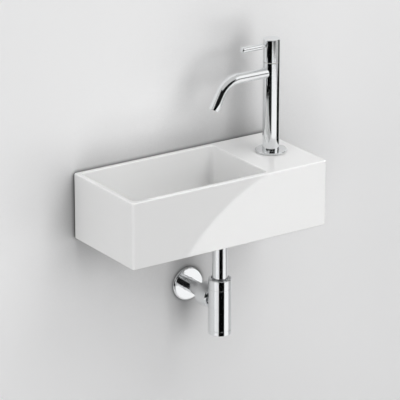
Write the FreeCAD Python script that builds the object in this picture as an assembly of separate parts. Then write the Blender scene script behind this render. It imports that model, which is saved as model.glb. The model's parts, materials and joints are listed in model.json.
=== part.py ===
import FreeCAD, Part
import math
import os

# A wall hung hand basin: a rectangular glazed bowl with a tap deck on its right, a single lever cold
# water pillar tap, a lift-and-tilt waste plug, a slim bottle trap and the fixings that hold it up.
#
# Millimetres. X runs along the wall to the right, Y into the wall, Z up. The origin lies on the wall
# plane, midway between the two fixing bolts. Heights in the driving dimensions are given from the rim.

Vector = FreeCAD.Vector
UP = Vector(0, 0, 1)
INTO_WALL = Vector(0, 1, 0)

# ---- Driving dimensions: gaps and edges used all over ---------------------------------------
CLOSE_GAP = 0.05
FREE_GAP = 0.1
THREAD_GAP = 0.15
LOOSE_GAP = 0.25
EDGE_BREAK = 0.6
BIG_EDGE_BREAK = 1.5

# ---- Driving dimensions: basin --------------------------------------------------------------
BASIN_WIDTH = 360.0
BASIN_DEPTH = 170.0
BASIN_HEIGHT = 107.0
WALL = 9.0
CORNER_RADIUS = 4.0
RIM_RADIUS = 2.2
FOOT_RADIUS = 1.5
DECK_WIDTH = 108.0
DECK_THICKNESS = 12.0
BOWL_DEPTH = 75.0
BOWL_FALL_ANGLE = 1.0
BOWL_CORNER_RADIUS = 7.0
BOWL_FLOOR_RADIUS = 9.0
FLOOR_UNDERSIDE_DROP = 84.0
HOLLOW_CORNER_RADIUS = 6.0

# ---- Driving dimensions: wall fixings -------------------------------------------------------
FIXING_DROP = 95.5
FIXING_SPACING = 260.0
FIXING_HOLE_RADIUS = 6.0
BOLT_RADIUS = 3.95
BOLT_TIP = -24.0
BOLT_END = 55.0
BOLT_POINT = 8.0
PLUG_RADIUS = 6.0
PLUG_START = 0.3
PLUG_LENGTH = 50.0
PLUG_SLOT = 1.2
PLUG_SLOT_LENGTH = 21.0
PLUG_TIP = 4.0
BUSH_FLANGE_RADIUS = 9.0
BUSH_FLANGE = 2.0
BUSH_RECESS = 0.5
FIXING_WASHER_RADIUS = 8.5
FIXING_WASHER = 1.6
FIXING_NUT_FLATS = 13.0
FIXING_NUT = 6.5

# ---- Driving dimensions: waste in the bowl floor --------------------------------------------
DRAIN_FROM_LEFT = 210.0
DRAIN_FROM_FRONT = 76.0
DRAIN_HOLE_RADIUS = 23.0
DRAIN_SEAT_RADIUS = 30.0
DRAIN_SEAT_DEPTH = 8.0
RECESS_RADIUS = 35.5
RECESS_DEPTH = 5.0
BOSS_RADIUS = 41.0
BOSS_DROP = 90.0
TAIL_RADIUS = 20.95
TAIL_BORE = 17.5
TAIL_LENGTH = 27.0
FLANGE_RADIUS = 33.5
FLANGE_THICKNESS = 2.0
FUNNEL_MOUTH_RADIUS = 26.5
FUNNEL_DEPTH = 12.0
FUNNEL_OUTER_RADIUS = 28.5
FUNNEL_OUTER_DEPTH = 8.5
GASKET_THICKNESS = 1.0
SEAT_RING_HEIGHT = 3.6
SEAT_RING_MOUTH_RADIUS = 28.0
SEAT_RING_ROUND = 1.2
SEAT_LIP = 0.8
SEAT_LIP_RISE = 0.3
SEAT_LIP_DEPTH = 2.2
HUB_RADIUS = 6.5
HUB_DROP = 1.0
HUB_HEIGHT = 7.0
SPOKE_WIDTH = 3.0
SPOKE_HEIGHT = 4.0
SPOKES = 3
GRIP_RING_RADIUS = 5.0
GRIP_RING_HEIGHT = 2.4
UNDER_WASHER_RADIUS = 30.0
UNDER_WASHER = 2.5
BACK_NUT_FLATS = 52.0
BACK_NUT_HEIGHT = 7.0

# ---- Driving dimensions: plug, raised and tipped --------------------------------------------
PLUG_DISC_RADIUS = 25.5
PLUG_DISC_THICKNESS = 3.4
PLUG_EDGE_RADIUS = 1.2
PLUG_LIFT = 26.0
PLUG_TILT = 22.6
PLUG_SEAT_GAP = 0.2
PIVOT_DROP = 7.0
PIVOT_RADIUS = 1.5
PIVOT_HEAD = 0.8
PIVOT_HEAD_RADIUS = 2.4
YOKE_HALF_SPAN = 10.2
YOKE_SHEET = 1.5
YOKE_WIDTH = 8.0
YOKE_LEG = 13.0
BLOCK_WIDTH = 10.0
BLOCK_RADIUS = 4.0
BLOCK_FOOT = 5.0
ROD_RADIUS = 3.0
ROD_BELOW_TAIL = 43.0
ROD_CLEARANCE = 0.08
STOP_NUT_FLATS = 10.0
STOP_NUT_HEIGHT = 4.0
STOP_NUT_GAP = 0.3

# ---- Driving dimensions: bottle trap --------------------------------------------------------
UNION_RADIUS = 23.5
UNION_TOP = 5.0
UNION_LENGTH = 15.0
UNION_LIP = 3.5
UNION_SEAL = 2.5
TUBE_RADIUS = 12.25
TUBE_WALL = 1.2
TUBE_FLARE_RADIUS = 20.0
TUBE_FLARE = 2.0
TUBE_END_DROP = 262.0
BOTTLE_RADIUS = 18.5
BOTTLE_WALL = 1.6
BOTTLE_TOP_DROP = 189.3
BOTTLE_BOTTOM_DROP = 282.3
TOP_NUT_HEIGHT = 16.5
TOP_NUT_RECESS = 2.0
TOP_NUT_RECESS_RADIUS = 15.6
TOP_NUT_WEB = 4.0
TOP_SEAL_HEIGHT = 4.0
TOP_SEAL_LIP = 1.5
NECK_RADIUS = 16.5
NECK_BORE = 13.4
CUP_HEIGHT = 7.5
CUP_FLOOR = 2.0
CUP_SEAL = 1.6
CUP_NECK_BORE = 14.9
OUTLET_DROP = 228.5
OUTLET_RADIUS = 11.0
OUTLET_WALL = 1.0
OUTLET_START = 20.0
OUTLET_PAST_WALL = 40.0
OUTLET_MARK_START = 2.0
OUTLET_MARK = 1.0
OUTLET_MARK_DEPTH = 0.3
STUB_RADIUS = 13.5
STUB_LENGTH = 30.0
OUTLET_SEAL = 3.0
OUTLET_NUT_START = 19.2
OUTLET_NUT_START_RADIUS = 17.2
OUTLET_NUT_FLANK_END = 38.5
OUTLET_NUT_RADIUS = 20.2
OUTLET_NUT_BAND_END = 42.0
OUTLET_NUT_END = 45.0
OUTLET_NUT_END_RADIUS = 17.0
ROSETTE_RADIUS = 28.2
ROSETTE_HEIGHT = 5.0
ROSETTE_EDGE = 2.0
ROSETTE_SHEET = 1.2
ROSETTE_GAP = 0.1

# ---- Driving dimensions: tap ----------------------------------------------------------------
TAP_FROM_LEFT = 313.3
TAP_FROM_FRONT = 86.1
TAP_HOLE_RADIUS = 17.5
COLUMN_RADIUS = 13.5
COLUMN_TOP = 147.4
BASE_SEAL = 0.8
BASE_SEAL_RADIUS = 23.5
BASE_FLANGE_RADIUS = 25.0
BASE_FLANGE = 2.8
BASE_FLANGE_EDGE = 1.0
WATERWAY_RADIUS = 8.0
SEAT_LOW = 112.0
SEAT_HIGH = 118.0
SEAT_BORE = 6.0
CHAMBER_RADIUS = 10.5
SHANK_RADIUS = 10.45
SHANK_BORE = 6.5
SHANK_IN_COLUMN = 15.0
SHANK_DROP = 52.0
SHANK_GROOVE_START = 25.5
SHANK_GROOVE = 1.5
SHANK_GROOVE_RADIUS = 9.6
TAP_WASHER_RADIUS = 22.0
TAP_WASHER = 3.0
CLAMP_PLATE_RADIUS = 21.0
CLAMP_PLATE = 2.0
LOCK_NUT_FLATS = 30.0
LOCK_NUT = 7.0
SPOUT_RADIUS = 8.75
SPOUT_BORE = 7.0
SPOUT_HEIGHT = 130.8
SPOUT_REACH = 63.1
SPOUT_BEND_RADIUS = 37.0
SPOUT_BEND_ANGLE = 62.0
SPOUT_STRAIGHT = 27.9
SPOUT_SET_BACK = 0.4
AERATOR_RADIUS = 7.6
AERATOR_LENGTH = 8.0
AERATOR_SEAL = 1.2
AERATOR_RIBS = 3
AERATOR_RINGS = (2.1, 4.2)
AERATOR_RIB = 0.7
AERATOR_GRID = 1.6
AERATOR_RECESS = 0.4
AERATOR_SLEEVE = 1.2

# ---- Driving dimensions: tap headwork and handle --------------------------------------------
HEADWORK_SHOULDER = 3.0
HEADWORK_SHOULDER_RADIUS = 10.9
HEADWORK_NECK_RADIUS = 7.0
HEADWORK_NECK_TOP = 158.0
DISC_CHAMBER_RADIUS = 8.2
DISC_CHAMBER_TOP = 137.0
DISC_RADIUS = 8.0
DISC_THICKNESS = 3.0
DISC_LOW = 121.0
DISC_PORT_RADIUS = 6.0
DISC_CORE_RADIUS = 1.6
DISC_PORT_ANGLE = 80.0
WINDOW_LOW = 129.0
WINDOW_HIGH = 135.0
WINDOW_WIDTH = 9.0
SPINDLE_RADIUS = 4.0
SPINDLE_TOP = 176.0
SPINDLE_DOG_RADIUS = 7.6
SPINDLE_DOG = 2.0
SPINDLE_CLEARANCE = 0.06
CLIP_RADIUS = 6.2
CLIP_THICKNESS = 1.0
CLIP_GROOVE_RADIUS = 3.4
CLIP_OPENING = 3.2
CLIP_RISE = 0.3
HEAD_LOW = 147.8
HEAD_TOP = 184.8
HEAD_BORE_RADIUS = 11.6
HEAD_BORE_TOP = 166.0
HEAD_EDGE = 0.6
SPLINE_TEETH = 12
SPLINE_DEPTH = 0.45
LEVER_HEIGHT = 174.9
LEVER_NECK_RADIUS = 3.0
LEVER_RADIUS = 5.0
LEVER_ROOT = 5.2
LEVER_SHOULDER = 19.6
LEVER_TIP = 57.6
LEVER_END_RADIUS = 2.6
GRUB_RADIUS = 2.0
GRUB_HEIGHT = 170.5
GRUB_START = 4.3
GRUB_END = 11.8
GRUB_KEY_FLATS = 2.0
GRUB_KEY_DEPTH = 2.5

# ---- Places worked out from them ------------------------------------------------------------
RIM = FIXING_DROP
FOOT = RIM - BASIN_HEIGHT
LEFT = -BASIN_WIDTH / 2
RIGHT = BASIN_WIDTH / 2
FRONT = -BASIN_DEPTH
BOWL_RIGHT = RIGHT - DECK_WIDTH
DRAIN = Vector(LEFT + DRAIN_FROM_LEFT, FRONT + DRAIN_FROM_FRONT, 0)
TAP = Vector(LEFT + TAP_FROM_LEFT, FRONT + TAP_FROM_FRONT, 0)
DRAIN_FLOOR = RIM - BOWL_DEPTH
RECESS_FLOOR = DRAIN_FLOOR - RECESS_DEPTH
FLANGE_LOW = RECESS_FLOOR + GASKET_THICKNESS
FLANGE_HIGH = FLANGE_LOW + FLANGE_THICKNESS
FUNNEL_LOW = FLANGE_HIGH - FUNNEL_DEPTH
TAIL_END = FLANGE_LOW - TAIL_LENGTH
HUB_TOP = FUNNEL_LOW - HUB_DROP
HUB_LOW = HUB_TOP - HUB_HEIGHT
BOSS_LOW = RIM - BOSS_DROP
BACK_NUT_TOP = BOSS_LOW - UNDER_WASHER
DISC_CLOSED = FLANGE_HIGH + SEAT_LIP_RISE + PLUG_SEAT_GAP
DISC_UNDERSIDE = DISC_CLOSED + PLUG_LIFT
PIVOT = DISC_UNDERSIDE - PIVOT_DROP
ROD_END = TAIL_END - ROD_BELOW_TAIL
UNION_LOW = TAIL_END + UNION_TOP - UNION_LENGTH
FLARE_TOP = TAIL_END - UNION_SEAL
TUBE_END = RIM - TUBE_END_DROP
BOTTLE_TOP = RIM - BOTTLE_TOP_DROP
BOTTLE_BOTTOM = RIM - BOTTLE_BOTTOM_DROP
BODY_TOP = BOTTLE_TOP - TOP_NUT_HEIGHT
WEB_LOW = BOTTLE_TOP - TOP_NUT_RECESS - TOP_NUT_WEB
NECK_TOP = WEB_LOW - TOP_SEAL_HEIGHT
BODY_BOTTOM = BOTTLE_BOTTOM + CUP_HEIGHT
CUP_INSIDE = BOTTLE_BOTTOM + CUP_FLOOR
CUP_NECK_END = CUP_INSIDE + CUP_SEAL
OUTLET = Vector(DRAIN.x, DRAIN.y, RIM - OUTLET_DROP)
ROSETTE_FACE = Vector(DRAIN.x, 0, OUTLET.z)
COLUMN_FOOT = BASE_SEAL


# ---- Shapes used by many pieces -------------------------------------------------------------
def turned(outline, centre):
    """A solid of revolution about the vertical axis through centre, from (radius, height) points."""
    points = [Vector(radius, 0, height) for radius, height in outline]
    face = Part.Face(Part.makePolygon(points + points[:1]))
    solid = face.revolve(Vector(0, 0, 0), UP, 360)
    solid.translate(Vector(centre.x, centre.y, 0))
    return solid


def turned_into_wall(outline, centre):
    """The same about an axis along Y through centre, where the second number is the distance in Y."""
    solid = turned(outline, Vector(0, 0, 0))
    solid.rotate(Vector(0, 0, 0), Vector(1, 0, 0), -90)
    solid.translate(centre)
    return solid


def pipe(radius, bore, low, high, centre):
    """A straight tube with square ends on the vertical axis through centre."""
    return turned([(bore, low), (radius, low), (radius, high), (bore, high)], centre)


def rod(radius, low, high, centre):
    """A plain round bar on the vertical axis through centre."""
    return Part.makeCylinder(radius, high - low, Vector(centre.x, centre.y, low))


def hexagon(flats, low, high, centre):
    """A hexagonal prism with two flats facing the front and the wall."""
    corner = flats / 2 / math.cos(math.pi / 6)
    turns = [math.radians(60 * step) for step in range(6)]
    points = [Vector(corner * math.cos(turn), corner * math.sin(turn), 0) for turn in turns]
    prism = Part.Face(Part.makePolygon(points + points[:1])).extrude(UP * (high - low))
    prism.translate(Vector(centre.x, centre.y, low))
    return prism


def nut(flats, bore, low, high, centre):
    """A hexagon nut whose corners are chamfered at 30 degrees on both faces."""
    corner = flats / 2 / math.cos(math.pi / 6)
    chamfer = (corner - flats / 2) * math.tan(math.pi / 6)
    outline = [
        (bore, low),
        (flats / 2, low),
        (corner, low + chamfer),
        (corner, high - chamfer),
        (flats / 2, high),
        (bore, high),
    ]
    return hexagon(flats, low, high, centre).common(turned(outline, centre))


def block(low, high):
    """A box between two corners."""
    size = high - low
    return Part.makeBox(size.x, size.y, size.z, low)


def upright_edges(shape):
    """The straight edges of shape that stand vertically."""
    return [edge for edge in shape.Edges if edge.BoundBox.XLength < 0.01 and edge.BoundBox.YLength < 0.01]


def edges_at(shape, height, reach=0.01):
    """The edges of shape that lie within reach of one height."""
    return [
        edge
        for edge in shape.Edges
        if abs(edge.BoundBox.ZMin - height) < reach and abs(edge.BoundBox.ZMax - height) < reach
    ]


def rounded_block(low, high, radius):
    """A box with its four upright edges rounded."""
    solid = block(low, high)
    return solid.makeFillet(radius, upright_edges(solid))


def both_fixings(solid):
    """Copies of a fixing piece made on the origin, one at each fixing hole."""
    pair = []
    for side in (-1, 1):
        copy = solid.copy()
        copy.translate(Vector(side * FIXING_SPACING / 2, 0, 0))
        pair.append(copy)
    return Part.makeCompound(pair)


# ---- Basin ----------------------------------------------------------------------------------
def basin_outside():
    """The outer block, with rounded corners, rim and foot."""
    solid = rounded_block(Vector(LEFT, FRONT, FOOT), Vector(RIGHT, 0, RIM), CORNER_RADIUS)
    solid = solid.makeFillet(RIM_RADIUS, edges_at(solid, RIM))
    return solid.makeFillet(FOOT_RADIUS, edges_at(solid, FOOT))


def bowl_space():
    """The space inside the bowl. Its floor falls to the right, towards the waste."""
    left = LEFT + WALL
    fall = math.tan(math.radians(BOWL_FALL_ANGLE))
    outline = [
        Vector(left, 0, RIM + 1),
        Vector(left, 0, DRAIN_FLOOR + fall * (DRAIN.x - left)),
        Vector(BOWL_RIGHT, 0, DRAIN_FLOOR - fall * (BOWL_RIGHT - DRAIN.x)),
        Vector(BOWL_RIGHT, 0, RIM + 1),
    ]
    face = Part.Face(Part.makePolygon(outline + outline[:1]))
    space = face.extrude(INTO_WALL * (BASIN_DEPTH - 2 * WALL))
    space.translate(Vector(0, FRONT + WALL, 0))
    space = space.makeFillet(BOWL_CORNER_RADIUS, upright_edges(space))
    floor_edges = [edge for edge in space.Edges if edge.BoundBox.ZMax < RIM - BOWL_DEPTH / 2]
    return space.makeFillet(BOWL_FLOOR_RADIUS, floor_edges)


def underside_space():
    """The hollow under the bowl floor and the higher one under the tap deck."""
    inset = Vector(WALL, WALL, 0)
    under_floor = rounded_block(
        Vector(LEFT, FRONT, FOOT - 1) + inset,
        Vector(RIGHT, 0, RIM - FLOOR_UNDERSIDE_DROP) - inset,
        HOLLOW_CORNER_RADIUS,
    )
    under_deck = rounded_block(
        Vector(BOWL_RIGHT + WALL, FRONT + WALL, FOOT - 1),
        Vector(RIGHT - WALL, -WALL, RIM - DECK_THICKNESS),
        HOLLOW_CORNER_RADIUS,
    )
    under_deck = under_deck.makeFillet(HOLLOW_CORNER_RADIUS - 1, edges_at(under_deck, RIM - DECK_THICKNESS))
    boss = rod(BOSS_RADIUS, BOSS_LOW, RIM, DRAIN)
    return under_floor.cut(boss).fuse(under_deck)


def waste_hole():
    """The hole for the waste: a round recess in the bowl floor, a conical seat and a straight bore."""
    return turned(
        [
            (0, FOOT),
            (DRAIN_HOLE_RADIUS, FOOT),
            (DRAIN_HOLE_RADIUS, RECESS_FLOOR - DRAIN_SEAT_DEPTH),
            (DRAIN_SEAT_RADIUS, RECESS_FLOOR),
            (RECESS_RADIUS, RECESS_FLOOR),
            (RECESS_RADIUS, RIM),
            (0, RIM),
        ],
        DRAIN,
    )


def basin_body():
    """The glazed basin: bowl, tap deck, hollow underside and the holes that its fittings need."""
    solid = basin_outside().cut(bowl_space())
    mouth = [edge for edge in edges_at(solid, RIM) if edge.BoundBox.XMin > LEFT + WALL - 1]
    mouth = [edge for edge in mouth if edge.BoundBox.XMax < BOWL_RIGHT + 1 and edge.BoundBox.YMax < 1 - WALL]
    mouth = [edge for edge in mouth if edge.BoundBox.YMin > FRONT + WALL - 1]
    solid = solid.makeFillet(RIM_RADIUS, mouth)
    solid = solid.cut(underside_space())
    solid = solid.cut(waste_hole())
    solid = solid.cut(rod(TAP_HOLE_RADIUS, FOOT, RIM + 1, TAP))
    for side in (-1, 1):
        mouth_of_hole = Vector(side * FIXING_SPACING / 2, -2 * WALL, 0)
        solid = solid.cut(Part.makeCylinder(FIXING_HOLE_RADIUS, 3 * WALL, mouth_of_hole, INTO_WALL))
    return solid


# ---- Wall fixings ---------------------------------------------------------------------------
def wall_bolts():
    """Two hanger bolts: a machine thread in front of the wall and a pointed screw inside it."""
    outline = [
        (0, BOLT_TIP),
        (BOLT_RADIUS - EDGE_BREAK, BOLT_TIP),
        (BOLT_RADIUS, BOLT_TIP + EDGE_BREAK),
        (BOLT_RADIUS, BOLT_END - BOLT_POINT),
        (0, BOLT_END),
    ]
    return both_fixings(turned_into_wall(outline, Vector(0, 0, 0)))


def wall_plugs():
    """Two plastic wall plugs, slit along their far half so that they spread."""
    bore = BOLT_RADIUS + CLOSE_GAP
    end = PLUG_START + PLUG_LENGTH
    outline = [
        (bore, PLUG_START),
        (PLUG_RADIUS, PLUG_START),
        (PLUG_RADIUS, end - BIG_EDGE_BREAK),
        (PLUG_RADIUS - 1, end),
        (bore, end),
    ]
    body = turned_into_wall(outline, Vector(0, 0, 0))
    slot_end = end - PLUG_TIP
    slot = block(
        Vector(-PLUG_RADIUS, slot_end - PLUG_SLOT_LENGTH, -PLUG_SLOT / 2),
        Vector(PLUG_RADIUS, slot_end, PLUG_SLOT / 2),
    )
    return both_fixings(body.cut(slot))


def fixing_bushes():
    """Two flanged plastic bushes that centre the bolts in the glazed holes."""
    bore = BOLT_RADIUS + THREAD_GAP
    sleeve = FIXING_HOLE_RADIUS - FREE_GAP
    outline = [
        (bore, -WALL - BUSH_FLANGE),
        (BUSH_FLANGE_RADIUS, -WALL - BUSH_FLANGE),
        (BUSH_FLANGE_RADIUS, -WALL),
        (sleeve, -WALL),
        (sleeve, -BUSH_RECESS),
        (bore, -BUSH_RECESS),
    ]
    return both_fixings(turned_into_wall(outline, Vector(0, 0, 0)))


def fixing_washers():
    """Two steel washers in front of the bushes."""
    back = -WALL - BUSH_FLANGE
    bore = BOLT_RADIUS + LOOSE_GAP
    outline = [
        (bore, back - FIXING_WASHER),
        (FIXING_WASHER_RADIUS, back - FIXING_WASHER),
        (FIXING_WASHER_RADIUS, back),
        (bore, back),
    ]
    return both_fixings(turned_into_wall(outline, Vector(0, 0, 0)))


def fixing_nuts():
    """Two nuts that draw the basin to the wall."""
    back = -WALL - BUSH_FLANGE - FIXING_WASHER
    solid = nut(FIXING_NUT_FLATS, BOLT_RADIUS, back - FIXING_NUT, back, Vector(0, 0, 0))
    solid.rotate(Vector(0, 0, 0), Vector(1, 0, 0), -90)
    return both_fixings(solid)


# ---- Waste in the bowl floor ----------------------------------------------------------------
def cone_radius(height):
    """The radius of the funnel's inner cone at one height."""
    share = (height - FUNNEL_LOW) / FUNNEL_DEPTH
    return TAIL_BORE + share * (FUNNEL_MOUTH_RADIUS - TAIL_BORE)


def drain_gasket():
    """The flat ring that seals the funnel's flange to the glaze."""
    return pipe(FLANGE_RADIUS, DRAIN_SEAT_RADIUS + 0.5, RECESS_FLOOR, FLANGE_LOW, DRAIN)


def drain_funnel():
    """The metal waste: flange, cone, threaded tail and a spoked hub that guides the plug's rod."""
    shell = turned(
        [
            (FUNNEL_MOUTH_RADIUS, FLANGE_HIGH),
            (FLANGE_RADIUS, FLANGE_HIGH),
            (FLANGE_RADIUS, FLANGE_LOW),
            (FUNNEL_OUTER_RADIUS, FLANGE_LOW),
            (TAIL_RADIUS, FLANGE_LOW - FUNNEL_OUTER_DEPTH),
            (TAIL_RADIUS, TAIL_END),
            (TAIL_BORE, TAIL_END),
            (TAIL_BORE, FUNNEL_LOW),
        ],
        DRAIN,
    )
    hub = rod(HUB_RADIUS, HUB_LOW, HUB_TOP, DRAIN)
    spoke_low = (HUB_LOW + HUB_TOP - SPOKE_HEIGHT) / 2
    for step in range(SPOKES):
        spoke = block(
            Vector(0, -SPOKE_WIDTH / 2, spoke_low),
            Vector(TAIL_BORE + 1, SPOKE_WIDTH / 2, spoke_low + SPOKE_HEIGHT),
        )
        spoke.rotate(Vector(0, 0, 0), UP, 90 + step * 360 / SPOKES)
        spoke.translate(DRAIN)
        hub = hub.fuse(spoke)
    hub = hub.cut(rod(ROD_RADIUS + ROD_CLEARANCE, HUB_LOW, HUB_TOP, DRAIN))
    hub = hub.cut(rod(GRIP_RING_RADIUS, HUB_TOP - GRIP_RING_HEIGHT, HUB_TOP, DRAIN))
    return shell.fuse(hub)


def drain_seat_ring():
    """The black rubber ring on the funnel's mouth, with a lip down the cone for the plug to close on."""
    top = FLANGE_HIGH + SEAT_RING_HEIGHT
    lip_end = FLANGE_HIGH - SEAT_LIP_DEPTH
    ring = turned(
        [
            (FUNNEL_MOUTH_RADIUS, FLANGE_HIGH),
            (FLANGE_RADIUS, FLANGE_HIGH),
            (FLANGE_RADIUS, top),
            (SEAT_RING_MOUTH_RADIUS, top),
            (FUNNEL_MOUTH_RADIUS - SEAT_LIP, FLANGE_HIGH + SEAT_LIP_RISE),
            (cone_radius(lip_end) - SEAT_LIP, lip_end),
            (cone_radius(lip_end), lip_end),
        ],
        DRAIN,
    )
    return ring.makeFillet(SEAT_RING_ROUND, edges_at(ring, top))


def drain_under_washer():
    """The thick rubber washer under the boss of the bowl floor."""
    return pipe(UNDER_WASHER_RADIUS, TAIL_RADIUS + FREE_GAP, BACK_NUT_TOP, BOSS_LOW, DRAIN)


def drain_back_nut():
    """The nut that clamps the waste in the bowl floor."""
    low = BACK_NUT_TOP - BACK_NUT_HEIGHT
    return nut(BACK_NUT_FLATS, TAIL_RADIUS + FREE_GAP, low, BACK_NUT_TOP, DRAIN)


def rod_grip_ring():
    """The small rubber ring in the hub that holds the plug's rod at any height."""
    low = HUB_TOP - GRIP_RING_HEIGHT
    return pipe(GRIP_RING_RADIUS, ROD_RADIUS + ROD_CLEARANCE / 2, low, HUB_TOP - FREE_GAP, DRAIN)


# ---- Plug -----------------------------------------------------------------------------------
def tipped(solid):
    """The solid turned about the plug's pivot pin so that its front edge is up."""
    solid.rotate(DRAIN + UP * PIVOT, Vector(-1, 0, 0), PLUG_TILT)
    return solid


def plug_disc():
    """The round plug, flat below and softly rounded round its upper edge."""
    top = DISC_UNDERSIDE + PLUG_DISC_THICKNESS
    disc = rod(PLUG_DISC_RADIUS, DISC_UNDERSIDE, top, DRAIN)
    disc = disc.makeFillet(PLUG_EDGE_RADIUS, edges_at(disc, top))
    return tipped(disc.makeChamfer(PLUG_EDGE_RADIUS / 3, edges_at(disc, DISC_UNDERSIDE)))


def plug_yoke():
    """The sheet bracket under the disc: a flat strip with a leg turned down at each end."""
    half = YOKE_WIDTH / 2
    leg_low = DISC_UNDERSIDE - YOKE_LEG + half
    along = Vector(1, 0, 0)
    yoke = block(
        Vector(-YOKE_HALF_SPAN, -half, DISC_UNDERSIDE - YOKE_SHEET),
        Vector(YOKE_HALF_SPAN, half, DISC_UNDERSIDE),
    )
    for low_x in (-YOKE_HALF_SPAN, YOKE_HALF_SPAN - YOKE_SHEET):
        leg = block(Vector(low_x, -half, leg_low), Vector(low_x + YOKE_SHEET, half, DISC_UNDERSIDE))
        foot = Part.makeCylinder(half, YOKE_SHEET, Vector(low_x, 0, leg_low), along)
        yoke = yoke.fuse(leg).fuse(foot)
    start = Vector(-2 * YOKE_HALF_SPAN, 0, PIVOT)
    hole = Part.makeCylinder(PIVOT_RADIUS + CLOSE_GAP, 4 * YOKE_HALF_SPAN, start, along)
    yoke = yoke.removeSplitter().cut(hole)
    yoke.translate(DRAIN)
    return tipped(yoke)


def plug_pivot_pin():
    """The pin that the yoke turns on, headed at both ends."""
    along = Vector(1, 0, 0)
    reach = YOKE_HALF_SPAN + CLOSE_GAP * 4
    pin = Part.makeCylinder(PIVOT_RADIUS, 2 * reach, Vector(-reach, 0, PIVOT), along)
    for place in (-reach - PIVOT_HEAD, reach):
        pin = pin.fuse(Part.makeCylinder(PIVOT_HEAD_RADIUS, PIVOT_HEAD, Vector(place, 0, PIVOT), along))
    pin.translate(DRAIN)
    return pin


def plug_block():
    """The block on top of the rod, round over the pivot pin."""
    body = block(
        Vector(-BLOCK_WIDTH / 2, -BLOCK_RADIUS, PIVOT - BLOCK_FOOT),
        Vector(BLOCK_WIDTH / 2, BLOCK_RADIUS, PIVOT),
    )
    start = Vector(-BLOCK_WIDTH / 2, 0, PIVOT)
    body = body.fuse(Part.makeCylinder(BLOCK_RADIUS, BLOCK_WIDTH, start, Vector(1, 0, 0)))
    body = body.cut(Part.makeCylinder(PIVOT_RADIUS, BLOCK_WIDTH, start, Vector(1, 0, 0)))
    body.translate(DRAIN)
    return body


def plug_rod():
    """The long threaded rod that slides in the hub."""
    top = PIVOT - BLOCK_FOOT
    return turned(
        [
            (0, ROD_END),
            (ROD_RADIUS - EDGE_BREAK, ROD_END),
            (ROD_RADIUS, ROD_END + EDGE_BREAK),
            (ROD_RADIUS, top),
            (0, top),
        ],
        DRAIN,
    )


def plug_stop_nut():
    """The nut on the rod that meets the hub when the plug is fully raised."""
    top = HUB_LOW - STOP_NUT_GAP
    return nut(STOP_NUT_FLATS, ROD_RADIUS, top - STOP_NUT_HEIGHT, top, DRAIN)


# ---- Bottle trap ----------------------------------------------------------------------------
def union_nut():
    """The round nut that joins the trap's tube to the tail of the waste."""
    top = UNION_LOW + UNION_LENGTH
    lip_top = UNION_LOW + UNION_LIP
    return turned(
        [
            (TUBE_RADIUS + THREAD_GAP, UNION_LOW),
            (UNION_RADIUS - BIG_EDGE_BREAK, UNION_LOW),
            (UNION_RADIUS, UNION_LOW + BIG_EDGE_BREAK),
            (UNION_RADIUS, top - EDGE_BREAK),
            (UNION_RADIUS - EDGE_BREAK, top),
            (TAIL_RADIUS + FREE_GAP, top),
            (TAIL_RADIUS + FREE_GAP, lip_top),
            (TUBE_RADIUS + THREAD_GAP, lip_top),
        ],
        DRAIN,
    )


def union_seal():
    """The flat rubber ring between the tail and the tube's flare."""
    return pipe(TUBE_FLARE_RADIUS, TAIL_BORE, FLARE_TOP, TAIL_END, DRAIN)


def trap_tube():
    """The slim tube from the waste down into the bottle, flared at its top."""
    bore = TUBE_RADIUS - TUBE_WALL
    return turned(
        [
            (bore, TUBE_END),
            (TUBE_RADIUS, TUBE_END),
            (TUBE_RADIUS, FLARE_TOP - TUBE_FLARE),
            (TUBE_FLARE_RADIUS, FLARE_TOP - TUBE_FLARE),
            (TUBE_FLARE_RADIUS, FLARE_TOP),
            (bore, FLARE_TOP),
        ],
        DRAIN,
    )


def trap_top_nut():
    """The nut at the top of the bottle, with a shallow recess round the tube."""
    recess_floor = BOTTLE_TOP - TOP_NUT_RECESS
    return turned(
        [
            (BOTTLE_RADIUS, BODY_TOP),
            (BOTTLE_RADIUS, BOTTLE_TOP - EDGE_BREAK),
            (BOTTLE_RADIUS - EDGE_BREAK, BOTTLE_TOP),
            (TOP_NUT_RECESS_RADIUS, BOTTLE_TOP),
            (TOP_NUT_RECESS_RADIUS, recess_floor),
            (TUBE_RADIUS + THREAD_GAP, recess_floor),
            (TUBE_RADIUS + THREAD_GAP, WEB_LOW),
            (NECK_RADIUS + THREAD_GAP, WEB_LOW),
            (NECK_RADIUS + THREAD_GAP, BODY_TOP),
        ],
        DRAIN,
    )


def trap_top_seal():
    """The lipped rubber ring that the top nut presses round the tube."""
    lip_end = NECK_TOP - TOP_SEAL_LIP
    return turned(
        [
            (TUBE_RADIUS, lip_end),
            (NECK_BORE - FREE_GAP, lip_end),
            (NECK_BORE - FREE_GAP, NECK_TOP),
            (NECK_RADIUS, NECK_TOP),
            (NECK_RADIUS, WEB_LOW - EDGE_BREAK),
            (NECK_RADIUS - EDGE_BREAK, WEB_LOW),
            (TUBE_RADIUS, WEB_LOW),
        ],
        DRAIN,
    )


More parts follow.
